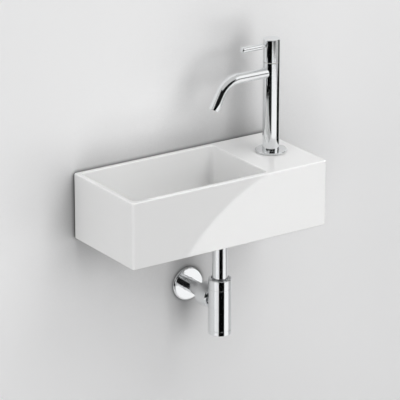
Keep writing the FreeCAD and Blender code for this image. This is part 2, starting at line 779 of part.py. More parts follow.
def trap_bottle():
    """The bottle: threaded necks at both ends, thin wall, and the stub that the outlet joins."""
    bore = BOTTLE_RADIUS - BOTTLE_WALL
    shoulder = BODY_TOP - 2 * BOTTLE_WALL
    outside = turned(
        [
            (0, CUP_NECK_END),
            (NECK_RADIUS, CUP_NECK_END),
            (NECK_RADIUS, BODY_BOTTOM),
            (BOTTLE_RADIUS, BODY_BOTTOM),
            (BOTTLE_RADIUS, BODY_TOP),
            (NECK_RADIUS, BODY_TOP),
            (NECK_RADIUS, NECK_TOP),
            (0, NECK_TOP),
        ],
        DRAIN,
    )
    inside = turned(
        [
            (0, CUP_NECK_END),
            (CUP_NECK_BORE, CUP_NECK_END),
            (CUP_NECK_BORE, BODY_BOTTOM + BOTTLE_WALL),
            (bore, BODY_BOTTOM + 2 * BOTTLE_WALL),
            (bore, shoulder),
            (NECK_BORE, shoulder + BOTTLE_WALL),
            (NECK_BORE, NECK_TOP),
            (0, NECK_TOP),
        ],
        DRAIN,
    )
    stub = Part.makeCylinder(STUB_RADIUS, STUB_LENGTH, OUTLET, INTO_WALL)
    socket_start = OUTLET + INTO_WALL * OUTLET_START
    socket = Part.makeCylinder(OUTLET_RADIUS + THREAD_GAP, STUB_LENGTH, socket_start, INTO_WALL)
    waterway = Part.makeCylinder(OUTLET_RADIUS - OUTLET_WALL, STUB_LENGTH, OUTLET, INTO_WALL)
    return outside.fuse(stub).cut(inside).cut(waterway).cut(socket)


def trap_cup_seal():
    """The flat ring between the bottle's lower neck and the cup's floor."""
    return pipe(NECK_RADIUS - FREE_GAP, CUP_NECK_BORE, CUP_INSIDE, CUP_NECK_END, DRAIN)


def trap_cup():
    """The screw cup at the foot of the bottle, taken off for cleaning."""
    bore = NECK_RADIUS + THREAD_GAP
    return turned(
        [
            (0, BOTTLE_BOTTOM),
            (BOTTLE_RADIUS - EDGE_BREAK, BOTTLE_BOTTOM),
            (BOTTLE_RADIUS, BOTTLE_BOTTOM + EDGE_BREAK),
            (BOTTLE_RADIUS, BODY_BOTTOM),
            (bore, BODY_BOTTOM),
            (bore, CUP_INSIDE),
            (0, CUP_INSIDE),
        ],
        DRAIN,
    )


def outlet_seal():
    """The rubber ring at the end of the bottle's stub."""
    outline = [
        (OUTLET_RADIUS, STUB_LENGTH),
        (STUB_RADIUS, STUB_LENGTH),
        (STUB_RADIUS, STUB_LENGTH + OUTLET_SEAL),
        (OUTLET_RADIUS, STUB_LENGTH + OUTLET_SEAL),
    ]
    return turned_into_wall(outline, OUTLET)


def outlet_nut():
    """The round nut of the outlet pipe: it widens away from the bottle and has a bevelled end."""
    seal_end = STUB_LENGTH + OUTLET_SEAL
    outline = [
        (STUB_RADIUS + THREAD_GAP, OUTLET_NUT_START),
        (OUTLET_NUT_START_RADIUS - EDGE_BREAK, OUTLET_NUT_START),
        (OUTLET_NUT_START_RADIUS, OUTLET_NUT_START + EDGE_BREAK),
        (OUTLET_NUT_RADIUS, OUTLET_NUT_FLANK_END),
        (OUTLET_NUT_RADIUS, OUTLET_NUT_BAND_END),
        (OUTLET_NUT_END_RADIUS, OUTLET_NUT_END),
        (OUTLET_RADIUS + THREAD_GAP, OUTLET_NUT_END),
        (OUTLET_RADIUS + THREAD_GAP, seal_end),
        (STUB_RADIUS + THREAD_GAP, seal_end),
    ]
    return turned_into_wall(outline, OUTLET)


def outlet_pipe():
    """The straight pipe from the bottle into the wall, with a fine ring that marks how far it goes in."""
    wall = -OUTLET.y
    outline = [
        (OUTLET_RADIUS - OUTLET_WALL, OUTLET_START + BUSH_RECESS),
        (OUTLET_RADIUS, OUTLET_START + BUSH_RECESS),
        (OUTLET_RADIUS, wall + OUTLET_MARK_START),
        (OUTLET_RADIUS - OUTLET_MARK_DEPTH, wall + OUTLET_MARK_START),
        (OUTLET_RADIUS - OUTLET_MARK_DEPTH, wall + OUTLET_MARK_START + OUTLET_MARK),
        (OUTLET_RADIUS, wall + OUTLET_MARK_START + OUTLET_MARK),
        (OUTLET_RADIUS, wall + OUTLET_PAST_WALL),
        (OUTLET_RADIUS - OUTLET_WALL, wall + OUTLET_PAST_WALL),
    ]
    return turned_into_wall(outline, OUTLET)


def rosette_side(radius, height):
    """One side of the rosette's sheet: straight at the wall, a rounded shoulder, then flat to the pipe."""
    shoulder = height - ROSETTE_EDGE
    centre = Vector(radius - shoulder, 0, ROSETTE_EDGE)
    foot = Vector(radius, 0, 0)
    low = Vector(radius, 0, ROSETTE_EDGE)
    bend = centre + Vector(shoulder, 0, shoulder) * math.sqrt(0.5)
    face = Vector(radius - shoulder, 0, height)
    mouth = Vector(OUTLET_RADIUS + ROSETTE_GAP, 0, height)
    edges = [Part.makeLine(foot, low), Part.Arc(low, bend, face).toShape(), Part.makeLine(face, mouth)]
    return edges, foot, mouth


def wall_rosette():
    """The flat cover plate with a rounded rim that slides on the outlet pipe up to the wall."""
    sheet = ROSETTE_SHEET
    outer, outer_foot, outer_mouth = rosette_side(ROSETTE_RADIUS, ROSETTE_HEIGHT)
    inner, inner_foot, inner_mouth = rosette_side(ROSETTE_RADIUS - sheet, ROSETTE_HEIGHT - sheet)
    ends = [Part.makeLine(inner_foot, outer_foot), Part.makeLine(inner_mouth, outer_mouth)]
    outline = Part.__sortEdges__(outer + inner + ends)
    solid = Part.Face(Part.Wire(outline)).revolve(Vector(0, 0, 0), UP, 360)
    solid.rotate(Vector(0, 0, 0), Vector(1, 0, 0), 90)
    solid.translate(ROSETTE_FACE)
    return solid


# ---- Tap: body ------------------------------------------------------------------------------
def above_deck(height):
    """A height above the tap deck as a Z value."""
    return RIM + height


def tap_base_seal():
    """The thin ring between the tap and the glaze."""
    return pipe(BASE_SEAL_RADIUS, SHANK_RADIUS + FREE_GAP, RIM, above_deck(BASE_SEAL), TAP)


def tap_base_flange():
    """The flat round plate at the tap's foot."""
    top = above_deck(BASE_SEAL + BASE_FLANGE)
    ring = pipe(BASE_FLANGE_RADIUS, COLUMN_RADIUS + CLOSE_GAP, above_deck(BASE_SEAL), top, TAP)
    outer = [edge for edge in edges_at(ring, top) if edge.BoundBox.XLength > 2 * COLUMN_RADIUS + 2]
    return ring.makeFillet(BASE_FLANGE_EDGE, outer)


def spout_direction():
    """The direction in which the spout's last straight points."""
    turn = math.radians(SPOUT_BEND_ANGLE)
    return Vector(-math.cos(turn), 0, -math.sin(turn))


def spout_bend_centre():
    """The centre of the spout's bend."""
    return TAP + Vector(-SPOUT_REACH, 0, above_deck(SPOUT_HEIGHT) - SPOUT_BEND_RADIUS)


def spout_bend_point(share):
    """A point on the spout's centre line, as a share of its bend."""
    turn = share * math.radians(SPOUT_BEND_ANGLE)
    return spout_bend_centre() + Vector(-math.sin(turn), 0, math.cos(turn)) * SPOUT_BEND_RADIUS


def spout_mouth():
    """The point where the spout's centre line leaves it."""
    return spout_bend_point(1) + spout_direction() * SPOUT_STRAIGHT


def spout_bar(radius):
    """A round bar along the spout's centre line, from the headwork chamber to the mouth."""
    start = TAP + Vector(-CHAMBER_RADIUS - SPOUT_SET_BACK, 0, above_deck(SPOUT_HEIGHT))
    bend = Part.Arc(spout_bend_point(0), spout_bend_point(0.5), spout_bend_point(1)).toShape()
    route = Part.Wire(
        [Part.makeLine(start, spout_bend_point(0)), bend, Part.makeLine(spout_bend_point(1), spout_mouth())]
    )
    section = Part.Wire(Part.makeCircle(radius, start, Vector(-1, 0, 0)))
    return route.makePipeShell([section], True, False)


def tap_spout():
    """The bent spout, with a counterbore for the aerator at its mouth."""
    along = spout_direction()
    seat = spout_mouth() - along * AERATOR_LENGTH
    counterbore = Part.makeCylinder(AERATOR_RADIUS, AERATOR_LENGTH, seat, along)
    return spout_bar(SPOUT_RADIUS).cut(spout_bar(SPOUT_BORE)).cut(counterbore)


def aerator_seal():
    """The small ring behind the aerator."""
    along = spout_direction()
    seat = spout_mouth() - along * AERATOR_LENGTH
    ring = Part.makeCylinder(AERATOR_RADIUS - CLOSE_GAP, AERATOR_SEAL, seat, along)
    return ring.cut(Part.makeCylinder(SPOUT_BORE - 1, AERATOR_SEAL, seat, along))


def aerator():
    """The plastic aerator in the spout's mouth: a sleeve with rings and ribs across it."""
    centre = Vector(0, 0, 0)
    back = AERATOR_SEAL - AERATOR_LENGTH
    face = -AERATOR_RECESS
    outside = AERATOR_RADIUS - CLOSE_GAP
    grid_back = face - AERATOR_GRID
    half = AERATOR_RIB / 2
    solid = pipe(outside, outside - AERATOR_SLEEVE, back, face, centre)
    for radius in AERATOR_RINGS:
        solid = solid.fuse(pipe(radius + half, radius - half, grid_back, face - half, centre))
    reach = outside - AERATOR_SLEEVE / 2
    for step in range(AERATOR_RIBS):
        rib = block(Vector(-reach, -half, grid_back), Vector(reach, half, face - half))
        rib.rotate(centre, UP, step * 180 / AERATOR_RIBS)
        solid = solid.fuse(rib)
    solid.rotate(centre, Vector(0, 1, 0), 270 - SPOUT_BEND_ANGLE)
    solid.translate(spout_mouth())
    return solid


def tap_column():
    """The tap's upright body: waterway, valve seat, headwork chamber and the spout's hole."""
    outside = pipe(COLUMN_RADIUS, WATERWAY_RADIUS, above_deck(COLUMN_FOOT), above_deck(COLUMN_TOP), TAP)
    seat = pipe(WATERWAY_RADIUS + 1, SEAT_BORE, above_deck(SEAT_LOW), above_deck(SEAT_HIGH), TAP)
    shank_hole = rod(SHANK_RADIUS, above_deck(COLUMN_FOOT), above_deck(COLUMN_FOOT + SHANK_IN_COLUMN), TAP)
    chamber = rod(CHAMBER_RADIUS, above_deck(SEAT_HIGH), above_deck(COLUMN_TOP), TAP)
    solid = outside.fuse(seat).cut(shank_hole).cut(chamber)
    spout_level = TAP + UP * above_deck(SPOUT_HEIGHT)
    spout_hole = Part.makeCylinder(SPOUT_RADIUS + CLOSE_GAP, 2 * COLUMN_RADIUS, spout_level, Vector(-1, 0, 0))
    return solid.cut(spout_hole)


def tap_shank():
    """The threaded tail through the deck. Below its groove it takes the water supply's nut."""
    top = above_deck(COLUMN_FOOT + SHANK_IN_COLUMN - FREE_GAP)
    low = above_deck(-SHANK_DROP)
    groove_high = above_deck(-SHANK_GROOVE_START)
    return turned(
        [
            (SHANK_BORE, low),
            (SHANK_RADIUS - EDGE_BREAK, low),
            (SHANK_RADIUS, low + EDGE_BREAK),
            (SHANK_RADIUS, groove_high - SHANK_GROOVE),
            (SHANK_GROOVE_RADIUS, groove_high - SHANK_GROOVE),
            (SHANK_GROOVE_RADIUS, groove_high),
            (SHANK_RADIUS, groove_high),
            (SHANK_RADIUS, top),
            (SHANK_BORE, top),
        ],
        TAP,
    )


def tap_rubber_washer():
    """The rubber washer under the deck."""
    top = above_deck(-DECK_THICKNESS)
    return pipe(TAP_WASHER_RADIUS, SHANK_RADIUS + FREE_GAP, top - TAP_WASHER, top, TAP)


def tap_clamp_plate():
    """The steel plate washer that spreads the lock nut's load."""
    top = above_deck(-DECK_THICKNESS - TAP_WASHER)
    return pipe(CLAMP_PLATE_RADIUS, SHANK_RADIUS + FREE_GAP, top - CLAMP_PLATE, top, TAP)


def tap_lock_nut():
    """The nut that holds the tap to the deck."""
    top = above_deck(-DECK_THICKNESS - TAP_WASHER - CLAMP_PLATE)
    return nut(LOCK_NUT_FLATS, SHANK_RADIUS, top - LOCK_NUT, top, TAP)


# ---- Tap: headwork --------------------------------------------------------------------------
def valve_seat_seal():
    """The rubber ring under the fixed ceramic disc."""
    return pipe(CHAMBER_RADIUS - LOOSE_GAP, SEAT_BORE, above_deck(SEAT_HIGH), above_deck(DISC_LOW), TAP)


def ported_disc(low, turn):
    """A ceramic disc with a wedge-shaped port on each side, turned about its axis."""
    high = low + DISC_THICKNESS
    centre = Vector(0, 0, 0)
    disc = rod(DISC_RADIUS, low, high, centre)
    core = rod(DISC_CORE_RADIUS, low, high, centre)
    for side in (0, 180):
        port = Part.makeCylinder(DISC_PORT_RADIUS, DISC_THICKNESS, UP * low, UP, DISC_PORT_ANGLE)
        port.rotate(centre, UP, side + turn - DISC_PORT_ANGLE / 2)
        disc = disc.cut(port.cut(core))
    disc.translate(TAP)
    return disc


def fixed_disc():
    """The ceramic disc that stays still."""
    return ported_disc(above_deck(DISC_LOW), 45)


def turning_disc():
    """The ceramic disc that the spindle turns. Closed, it covers the fixed disc's ports."""
    return ported_disc(above_deck(DISC_LOW + DISC_THICKNESS), 135)


def headwork_body():
    """The brass headwork: chamber with side windows, shoulder on the column, and spindle neck."""
    spindle_bore = SPINDLE_RADIUS + SPINDLE_CLEARANCE
    low = above_deck(DISC_LOW)
    column_top = above_deck(COLUMN_TOP)
    shoulder_top = column_top + HEADWORK_SHOULDER
    neck_top = above_deck(HEADWORK_NECK_TOP)
    chamber_top = above_deck(DISC_CHAMBER_TOP)
    solid = turned(
        [
            (DISC_CHAMBER_RADIUS, low),
            (CHAMBER_RADIUS - FREE_GAP, low),
            (CHAMBER_RADIUS - FREE_GAP, column_top),
            (HEADWORK_SHOULDER_RADIUS, column_top),
            (HEADWORK_SHOULDER_RADIUS, shoulder_top),
            (HEADWORK_NECK_RADIUS, shoulder_top),
            (HEADWORK_NECK_RADIUS, neck_top),
            (spindle_bore, neck_top),
            (spindle_bore, chamber_top),
            (DISC_CHAMBER_RADIUS, chamber_top),
        ],
        TAP,
    )
    for along in (Vector(1, 0, 0), Vector(0, 1, 0)):
        across = Vector(along.y, along.x, 0)
        corner = along * (-2 * COLUMN_RADIUS) - across * (WINDOW_WIDTH / 2)
        far = along * (2 * COLUMN_RADIUS) + across * (WINDOW_WIDTH / 2)
        window = block(corner + UP * above_deck(WINDOW_LOW), far + UP * above_deck(WINDOW_HIGH))
        window.translate(TAP)
        solid = solid.cut(window)
    return solid


def headwork_spindle():
    """The splined spindle, with the dog that turns the upper disc and a groove for its clip."""
    dog_low = above_deck(DISC_LOW + 2 * DISC_THICKNESS)
    groove_low = above_deck(HEADWORK_NECK_TOP + CLIP_RISE) - CLOSE_GAP
    groove_high = groove_low + CLIP_THICKNESS + 2 * CLOSE_GAP
    top = above_deck(SPINDLE_TOP)
    spline_low = above_deck(HEAD_BORE_TOP)
    solid = turned(
        [
            (0, dog_low),
            (SPINDLE_DOG_RADIUS, dog_low),
            (SPINDLE_DOG_RADIUS, dog_low + SPINDLE_DOG),
            (SPINDLE_RADIUS, dog_low + SPINDLE_DOG),
            (SPINDLE_RADIUS, groove_low),
            (CLIP_GROOVE_RADIUS, groove_low),
            (CLIP_GROOVE_RADIUS, groove_high),
            (SPINDLE_RADIUS, groove_high),
            (SPINDLE_RADIUS, top - EDGE_BREAK),
            (SPINDLE_RADIUS - EDGE_BREAK, top),
            (0, top),
        ],
        TAP,
    )
    for step in range(SPLINE_TEETH):
        groove = block(
            Vector(SPINDLE_RADIUS - SPLINE_DEPTH, -SPLINE_DEPTH, spline_low),
            Vector(SPINDLE_RADIUS + 1, SPLINE_DEPTH, top + 1),
        )
        groove.rotate(Vector(0, 0, 0), UP, step * 360 / SPLINE_TEETH)
        groove.translate(TAP)
        solid = solid.cut(groove)
    return solid


def spindle_clip():
    """The open spring clip that keeps the spindle in the headwork."""
    low = above_deck(HEADWORK_NECK_TOP + CLIP_RISE)
    high = low + CLIP_THICKNESS
    ring = pipe(CLIP_RADIUS, CLIP_GROOVE_RADIUS, low, high, TAP)
    gap = block(Vector(0, -CLIP_OPENING / 2, low), Vector(CLIP_RADIUS + 1, CLIP_OPENING / 2, high))
    gap.translate(TAP)
    return ring.cut(gap)


# ---- Tap: handle ----------------------------------------------------------------------------
def handle_head():
    """The turning head on the column's top: hollow below, bored for the spindle and the lever above."""
    low = above_deck(HEAD_LOW)
    top = above_deck(HEAD_TOP)
    bore_top = above_deck(HEAD_BORE_TOP)
    socket_top = above_deck(SPINDLE_TOP + CLIP_RISE)
    socket = SPINDLE_RADIUS + SPINDLE_CLEARANCE
    solid = turned(
        [
            (HEAD_BORE_RADIUS, low),
            (COLUMN_RADIUS, low),
            (COLUMN_RADIUS, top - HEAD_EDGE),
            (COLUMN_RADIUS - HEAD_EDGE, top),
            (0, top),
            (0, socket_top),
            (socket, socket_top),
            (socket, bore_top),
            (HEAD_BORE_RADIUS, bore_top),
        ],
        TAP,
    )
    lever_hole = Part.makeCylinder(
        LEVER_NECK_RADIUS,
        COLUMN_RADIUS,
        TAP + Vector(-LEVER_ROOT, 0, above_deck(LEVER_HEIGHT)),
        Vector(-1, 0, 0),
    )
    grub_hole = Part.makeCylinder(GRUB_RADIUS, COLUMN_RADIUS, TAP + UP * above_deck(GRUB_HEIGHT), INTO_WALL)
    return solid.cut(lever_hole).cut(grub_hole)


def handle_lever():
    """The round stick of the handle, with a thin neck screwed into the head."""
    bar = turned(
        [
            (0, LEVER_ROOT),
            (LEVER_NECK_RADIUS, LEVER_ROOT),
            (LEVER_NECK_RADIUS, LEVER_SHOULDER),
            (LEVER_RADIUS - EDGE_BREAK, LEVER_SHOULDER),
            (LEVER_RADIUS, LEVER_SHOULDER + EDGE_BREAK),
            (LEVER_RADIUS, LEVER_TIP),
            (0, LEVER_TIP),
        ],
        Vector(0, 0, 0),
    )
    bar = bar.makeFillet(LEVER_END_RADIUS, edges_at(bar, LEVER_TIP))
    bar.rotate(Vector(0, 0, 0), Vector(0, 1, 0), -90)
    bar.translate(TAP + UP * above_deck(LEVER_HEIGHT))
    return bar


def handle_grub_screw():
    """The grub screw at the back of the head that grips the spindle."""
    place = TAP + Vector(0, GRUB_START, above_deck(GRUB_HEIGHT))
    screw = Part.makeCylinder(GRUB_RADIUS, GRUB_END - GRUB_START, place, INTO_WALL)
    key = hexagon(GRUB_KEY_FLATS, 0, GRUB_KEY_DEPTH, Vector(0, 0, 0))
    key.rotate(Vector(0, 0, 0), Vector(1, 0, 0), -90)
    key.translate(TAP + Vector(0, GRUB_END - GRUB_KEY_DEPTH, above_deck(GRUB_HEIGHT)))
    return screw.cut(key)


PIECES = [
    basin_body,
    wall_bolts,
    wall_plugs,
    fixing_bushes,
    fixing_washers,
    fixing_nuts,
    drain_gasket,
    drain_funnel,
    drain_seat_ring,
    drain_under_washer,
    drain_back_nut,
    rod_grip_ring,
    plug_disc,
    plug_yoke,
    plug_pivot_pin,
    plug_block,
    plug_rod,
    plug_stop_nut,
    union_nut,
    union_seal,
    trap_tube,
    trap_top_nut,
    trap_top_seal,
    trap_bottle,
    trap_cup_seal,
    trap_cup,
    outlet_seal,
    outlet_nut,
    outlet_pipe,
    wall_rosette,
    tap_base_seal,
    tap_base_flange,
    tap_column,
    tap_spout,
    aerator_seal,
    aerator,
    tap_shank,
    tap_rubber_washer,
    tap_clamp_plate,
    tap_lock_nut,
    valve_seat_seal,
    fixed_disc,
    turning_disc,
    headwork_body,
    headwork_spindle,
    spindle_clip,
    handle_head,
    handle_lever,
    handle_grub_screw,
]

os.makedirs("parts", exist_ok=True)
for piece in PIECES:
    shape = piece()
    if not shape.isValid():
        raise ValueError(piece.__name__ + " isn't a valid solid")
    shape.exportStep("parts/" + piece.__name__ + ".step")
    print(piece.__name__, len(shape.Solids), round(shape.Volume))
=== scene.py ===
"""The looks of a wall hung hand basin with its tap, waste plug, bottle trap and wall fixings."""

import json
import math

import bmesh
import bpy
from mathutils import Matrix, Vector


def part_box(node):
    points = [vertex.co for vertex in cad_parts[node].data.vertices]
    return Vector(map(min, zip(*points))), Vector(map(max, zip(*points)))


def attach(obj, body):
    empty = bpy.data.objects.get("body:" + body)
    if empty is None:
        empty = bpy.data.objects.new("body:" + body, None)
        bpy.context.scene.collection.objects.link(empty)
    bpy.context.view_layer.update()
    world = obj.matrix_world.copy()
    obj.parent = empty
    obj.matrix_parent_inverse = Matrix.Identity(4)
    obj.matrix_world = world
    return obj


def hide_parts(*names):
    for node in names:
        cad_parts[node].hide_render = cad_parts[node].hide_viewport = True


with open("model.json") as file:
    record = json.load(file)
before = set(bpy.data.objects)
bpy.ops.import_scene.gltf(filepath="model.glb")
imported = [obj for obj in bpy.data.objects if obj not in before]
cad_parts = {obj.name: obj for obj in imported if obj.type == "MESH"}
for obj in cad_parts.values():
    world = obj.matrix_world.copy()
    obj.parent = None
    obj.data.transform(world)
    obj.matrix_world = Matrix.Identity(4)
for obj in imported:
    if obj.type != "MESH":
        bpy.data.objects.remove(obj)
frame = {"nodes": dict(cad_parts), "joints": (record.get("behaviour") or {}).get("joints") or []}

bl_info = {
    "name": "Wall hung hand basin",
    "version": (1, 0, 0),
    "blender": (4, 5, 0),
    "location": "3D View > Sidebar > Basin",
    "description": "Builds the finished pieces of a wall hung hand basin round its packed frame",
    "category": "Object",
}

MM = 0.001
UP = Vector((0, 0, 1))
RIGHT = Vector((1, 0, 0))
INTO_WALL = Vector((0, 1, 0))
MERGE = 1e-7
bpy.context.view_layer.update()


# ---- Places read from the frame
def middle(node):
    """The centre of a node's box."""
    low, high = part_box(node)
    return (low + high) / 2


BASIN_LOW, BASIN_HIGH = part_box("basin_body")
RIM = BASIN_HIGH.z
DRAIN = Vector((middle("drain_gasket").x, middle("drain_gasket").y, 0))
TAP = Vector((middle("tap_base_seal").x, middle("tap_base_seal").y, 0))
OUTLET = Vector((DRAIN.x, DRAIN.y, middle("outlet_seal").z))
BUSH_RADIUS = 9 * MM
FIXING_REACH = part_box("fixing_bushes")[1].x - BUSH_RADIUS
FIXINGS = [Vector((-FIXING_REACH, 0, 0)), Vector((FIXING_REACH, 0, 0))]
PIVOT = middle("plug_pivot_pin")
TILT_JOINT = next(joint for joint in frame["joints"] if joint["name"] == "plug_tilt")
PLUG_TILT = abs(math.radians(TILT_JOINT["range_deg"][0]))
PLUG_AXIS = Matrix.Rotation(-PLUG_TILT, 3, "X") @ UP
LEVER = middle("handle_lever")

# ---- Sizes of the standard fittings' holes, threads and tubes
TAP_HOLE_RADIUS = 17.5 * MM
FIXING_HOLE_RADIUS = 6 * MM
HOLLOW_CORNER_RADIUS = 6 * MM
HOLLOW_TOP_RADIUS = 3 * MM
WASTE_BORE, WASTE_CONE, WASTE_RECESS, WASTE_MOUTH = 23 * MM, 30 * MM, 35.5 * MM, 37.2 * MM
WASTE_CONE_HEIGHT = 8 * MM
WASTE_GLAZE_RADIUS = 1.2 * MM
SPOUT_START = 10.9 * MM
SPOUT_LEVEL_REACH = 63.1 * MM
SPOUT_BEND = 37 * MM
SPOUT_TURN = math.radians(62)
SPOUT_TAIL = 27.9 * MM
SPOUT_BORE, SPOUT_MOUTH_BORE, SPOUT_LIP_BORE = 7.0 * MM, 7.6 * MM, 7.75 * MM
SPOUT_MOUTH_DEPTH = 8 * MM
SPOUT_LIP = 0.5 * MM
BOLT_THREAD = {"radius": 3.95 * MM, "pitch": 1.25 * MM, "ridge": 0.35 * MM}
ROD_THREAD = {"radius": 2.66 * MM, "pitch": 1.0 * MM, "ridge": 0.32 * MM}
SHANK_THREAD = {"radius": 10.05 * MM, "pitch": 1.81 * MM, "ridge": 0.55 * MM}
THREAD_STEPS = 24
THREAD_LEAD_IN, SHANK_LEAD_IN = 0.8 * MM, 1.2 * MM
BOLT_THREAD_LENGTH, SHANK_THREAD_LENGTH = 16 * MM, 46 * MM
SEAL_EASE = 0.05 * MM


# ---- Settings that a user would change
def length(name, description, default, low=0.0):
    """A length property in metres."""
    return bpy.props.FloatProperty(
        name=name, description=description, default=default, min=low, precision=4, unit="LENGTH"
    )


def colour(name, description, default):
    """A linear colour property."""
    return bpy.props.FloatVectorProperty(
        name=name, description=description, default=default, size=3, min=0, max=1, subtype="COLOR"
    )


def strength(name, description, default):
    """A light's level."""
    return bpy.props.FloatProperty(name=name, description=description, default=default, min=0)


class BasinSizes(bpy.types.PropertyGroup):
    """Sizes of the glazed basin and of the soft edges on the fittings."""

    wall: length("Wall", "Thickness of the ceramic walls", 9 * MM)
    corner_radius: length("Corner radius", "Rounding of the upright outer corners", 4 * MM)
    rim_radius: length("Rim radius", "Rounding of the rim", 2.2 * MM)
    foot_radius: length("Foot radius", "Rounding of the lower outer edge", 1.5 * MM)
    deck_width: length("Deck width", "Width of the tap deck", 108 * MM)
    deck_thickness: length("Deck thickness", "Thickness of the ceramic under the tap", 12 * MM)
    bowl_depth: length("Bowl depth", "Depth of the bowl's floor at the waste", 75 * MM)
    bowl_corner_radius: length("Bowl corner radius", "Rounding of the bowl's upright edges", 7 * MM)
    bowl_floor_radius: length("Bowl floor radius", "Rounding round the bowl's floor", 9 * MM)
    floor_underside: length("Floor underside", "Depth of its underside below the rim", 84 * MM)
    boss_radius: length("Boss radius", "Radius of the thicker ring round the waste", 41 * MM)
    boss_drop: length("Boss drop", "Depth of that ring's face below the rim", 90 * MM)
    chrome_edge: length("Chrome edge", "Rounding of the plated pieces' edges", 0.35 * MM)
    rubber_edge: length("Rubber edge", "Rounding of the rubber rings' edges", 0.3 * MM)


class BasinFinish(bpy.types.PropertyGroup):
    """Colours of the finishes."""

    glaze: colour("Glaze", "Colour of the white glaze", (0.665, 0.665, 0.656))
    bisque: colour("Bisque", "Colour of the unglazed back", (0.62, 0.59, 0.54))
    chrome: colour("Chrome", "Colour of the plating", (0.86, 0.87, 0.88))
    rubber: colour("Rubber", "Colour of the seals", (0.012, 0.012, 0.013))
    brass: colour("Brass", "Colour of the machined brass", (0.62, 0.44, 0.18))
    steel: colour("Steel", "Colour of the zinc plated steel", (0.50, 0.51, 0.53))
    grey_plastic: colour("Grey plastic", "Colour of the plugs and aerator", (0.22, 0.23, 0.24))
    white_plastic: colour("White plastic", "Colour of the bushes", (0.72, 0.72, 0.69))
    alumina: colour("Valve ceramic", "Colour of the valve discs", (0.78, 0.76, 0.70))
    wall: colour("Wall", "Colour of the wall behind the basin", (0.97, 0.97, 0.972))
    floor: colour("Floor", "Colour of the floor below the basin", (0.86, 0.86, 0.865))


class BasinLight(bpy.types.PropertyGroup):
    """Levels of the studio's light."""

    key: strength("Key", "Level light from the front", 0.45)
    high: strength("High", "Light from the upper right", 0.18)
    top: strength("Top", "Light from above", 0.54)
    side: strength("Side", "Light from the left", 0.44)
    back: strength("Back", "Light behind the wall", 0.5)
    fill: strength("Fill", "Light from all round", 0.05)
    beam: strength("Beam", "Round beam on the basin's front", 0.15)
    wash: strength("Wash", "Light on the wall alone", 0.13)
    panel: strength("Panel", "Glow of the reflected panels", 1.04)


# ---- Shared node groups
def socketed_group(name, kind, inputs, outputs):
    """An empty node group with named inputs and outputs, and its two end nodes."""
    group = bpy.data.node_groups.new(name, kind)
    for socket_name, socket_type, default in inputs:
        socket = group.interface.new_socket(socket_name, in_out="INPUT", socket_type=socket_type)
        if default is not None:
            socket.default_value = default
    for socket_name, socket_type in outputs:
        group.interface.new_socket(socket_name, in_out="OUTPUT", socket_type=socket_type)
    return group, group.nodes.new("NodeGroupInput"), group.nodes.new("NodeGroupOutput")


def wire(giver, output, taker, entry):
    """Links a node's output to another node's input."""
    giver.id_data.links.new(giver.outputs[output], taker.inputs[entry])


def masking_noise(group, start, end, place, detail):
    """A noise node at the group's scale, with the group's mask taken from it."""
    noise = group.nodes.new("ShaderNodeTexNoise")
    noise.inputs["Detail"].default_value = detail
    spread = group.nodes.new("ShaderNodeMapRange")
    group.links.new(place, noise.inputs["Vector"])
    wire(start, "Scale", noise, "Scale")
    wire(noise, "Fac", spread, "Value")
    wire(start, "Low", spread, "To Min")
    wire(start, "High", spread, "To Max")
    wire(spread, "Result", end, "Mask")
    return noise


def uneven_group():
    """Soft cloudy variation over the surface: a mask, and a height for a bump."""
    floats = "NodeSocketFloat"
    group, start, end = socketed_group(
        "Soft unevenness",
        "ShaderNodeTree",
        [("Scale", floats, 20), ("Low", floats, 0), ("High", floats, 1), ("Height", floats, 1)],
        [("Mask", floats), ("Height", floats)],
    )
    place = group.nodes.new("ShaderNodeTexCoord")
    noise = masking_noise(group, start, end, place.outputs["Object"], 3.0)
    lift = group.nodes.new("ShaderNodeMath")
    lift.operation = "MULTIPLY"
    wire(noise, "Fac", lift, 0)
    wire(start, "Height", lift, 1)
    wire(lift, "Value", end, "Height")
    return group


def marks_group():
    """Fine marks of turning or rolling: noise drawn out sideways, as a mask and a height."""
    floats = "NodeSocketFloat"
    group, start, end = socketed_group(
        "Tool marks",
        "ShaderNodeTree",
        [("Scale", floats, 300), ("Stretch", floats, 8), ("Low", floats, 0), ("High", floats, 1)],
        [("Mask", floats), ("Height", floats)],
    )
    place = group.nodes.new("ShaderNodeTexCoord")
    split = group.nodes.new("ShaderNodeSeparateXYZ")
    tall = group.nodes.new("ShaderNodeMath")
    tall.operation = "MULTIPLY"
    joined = group.nodes.new("ShaderNodeCombineXYZ")
    noise = masking_noise(group, start, end, joined.outputs["Vector"], 4.0)
    wire(place, "Object", split, "Vector")
    wire(split, "Z", tall, 0)
    wire(start, "Stretch", tall, 1)
    wire(split, "X", joined, "X")
    wire(split, "Y", joined, "Y")
    wire(tall, "Value", joined, "Z")
    wire(noise, "Fac", end, "Height")
    return group


def shared(name, maker):
    """A node group, built the first time it is asked for."""
    return bpy.data.node_groups.get(name) or maker()


# ---- Materials
def blank_material(name):
    """A material with a Principled shader, and that shader."""
    material = bpy.data.materials.new(name)
    material.use_nodes = True
    return material, material.node_tree.nodes["Principled BSDF"]


def placed_group(material, group, **values):
    """A shared group placed in a material with its own values."""
    node = material.node_tree.nodes.new("ShaderNodeGroup")
    node.node_tree = group
    for name, value in values.items():
        node.inputs[name].default_value = value
    return node


def uneven(material, **values):
    """Soft unevenness in a material."""
    return placed_group(material, shared("Soft unevenness", uneven_group), **values)


def bump(material, shader, height, distance, strength=1.0):
    """A bump on the shader's normal, of a real depth in metres."""
    node = material.node_tree.nodes.new("ShaderNodeBump")
    node.inputs["Distance"].default_value = distance
    node.inputs["Strength"].default_value = strength
    material.node_tree.links.new(height, node.inputs["Height"])
    wire(node, "Normal", shader, "Normal")


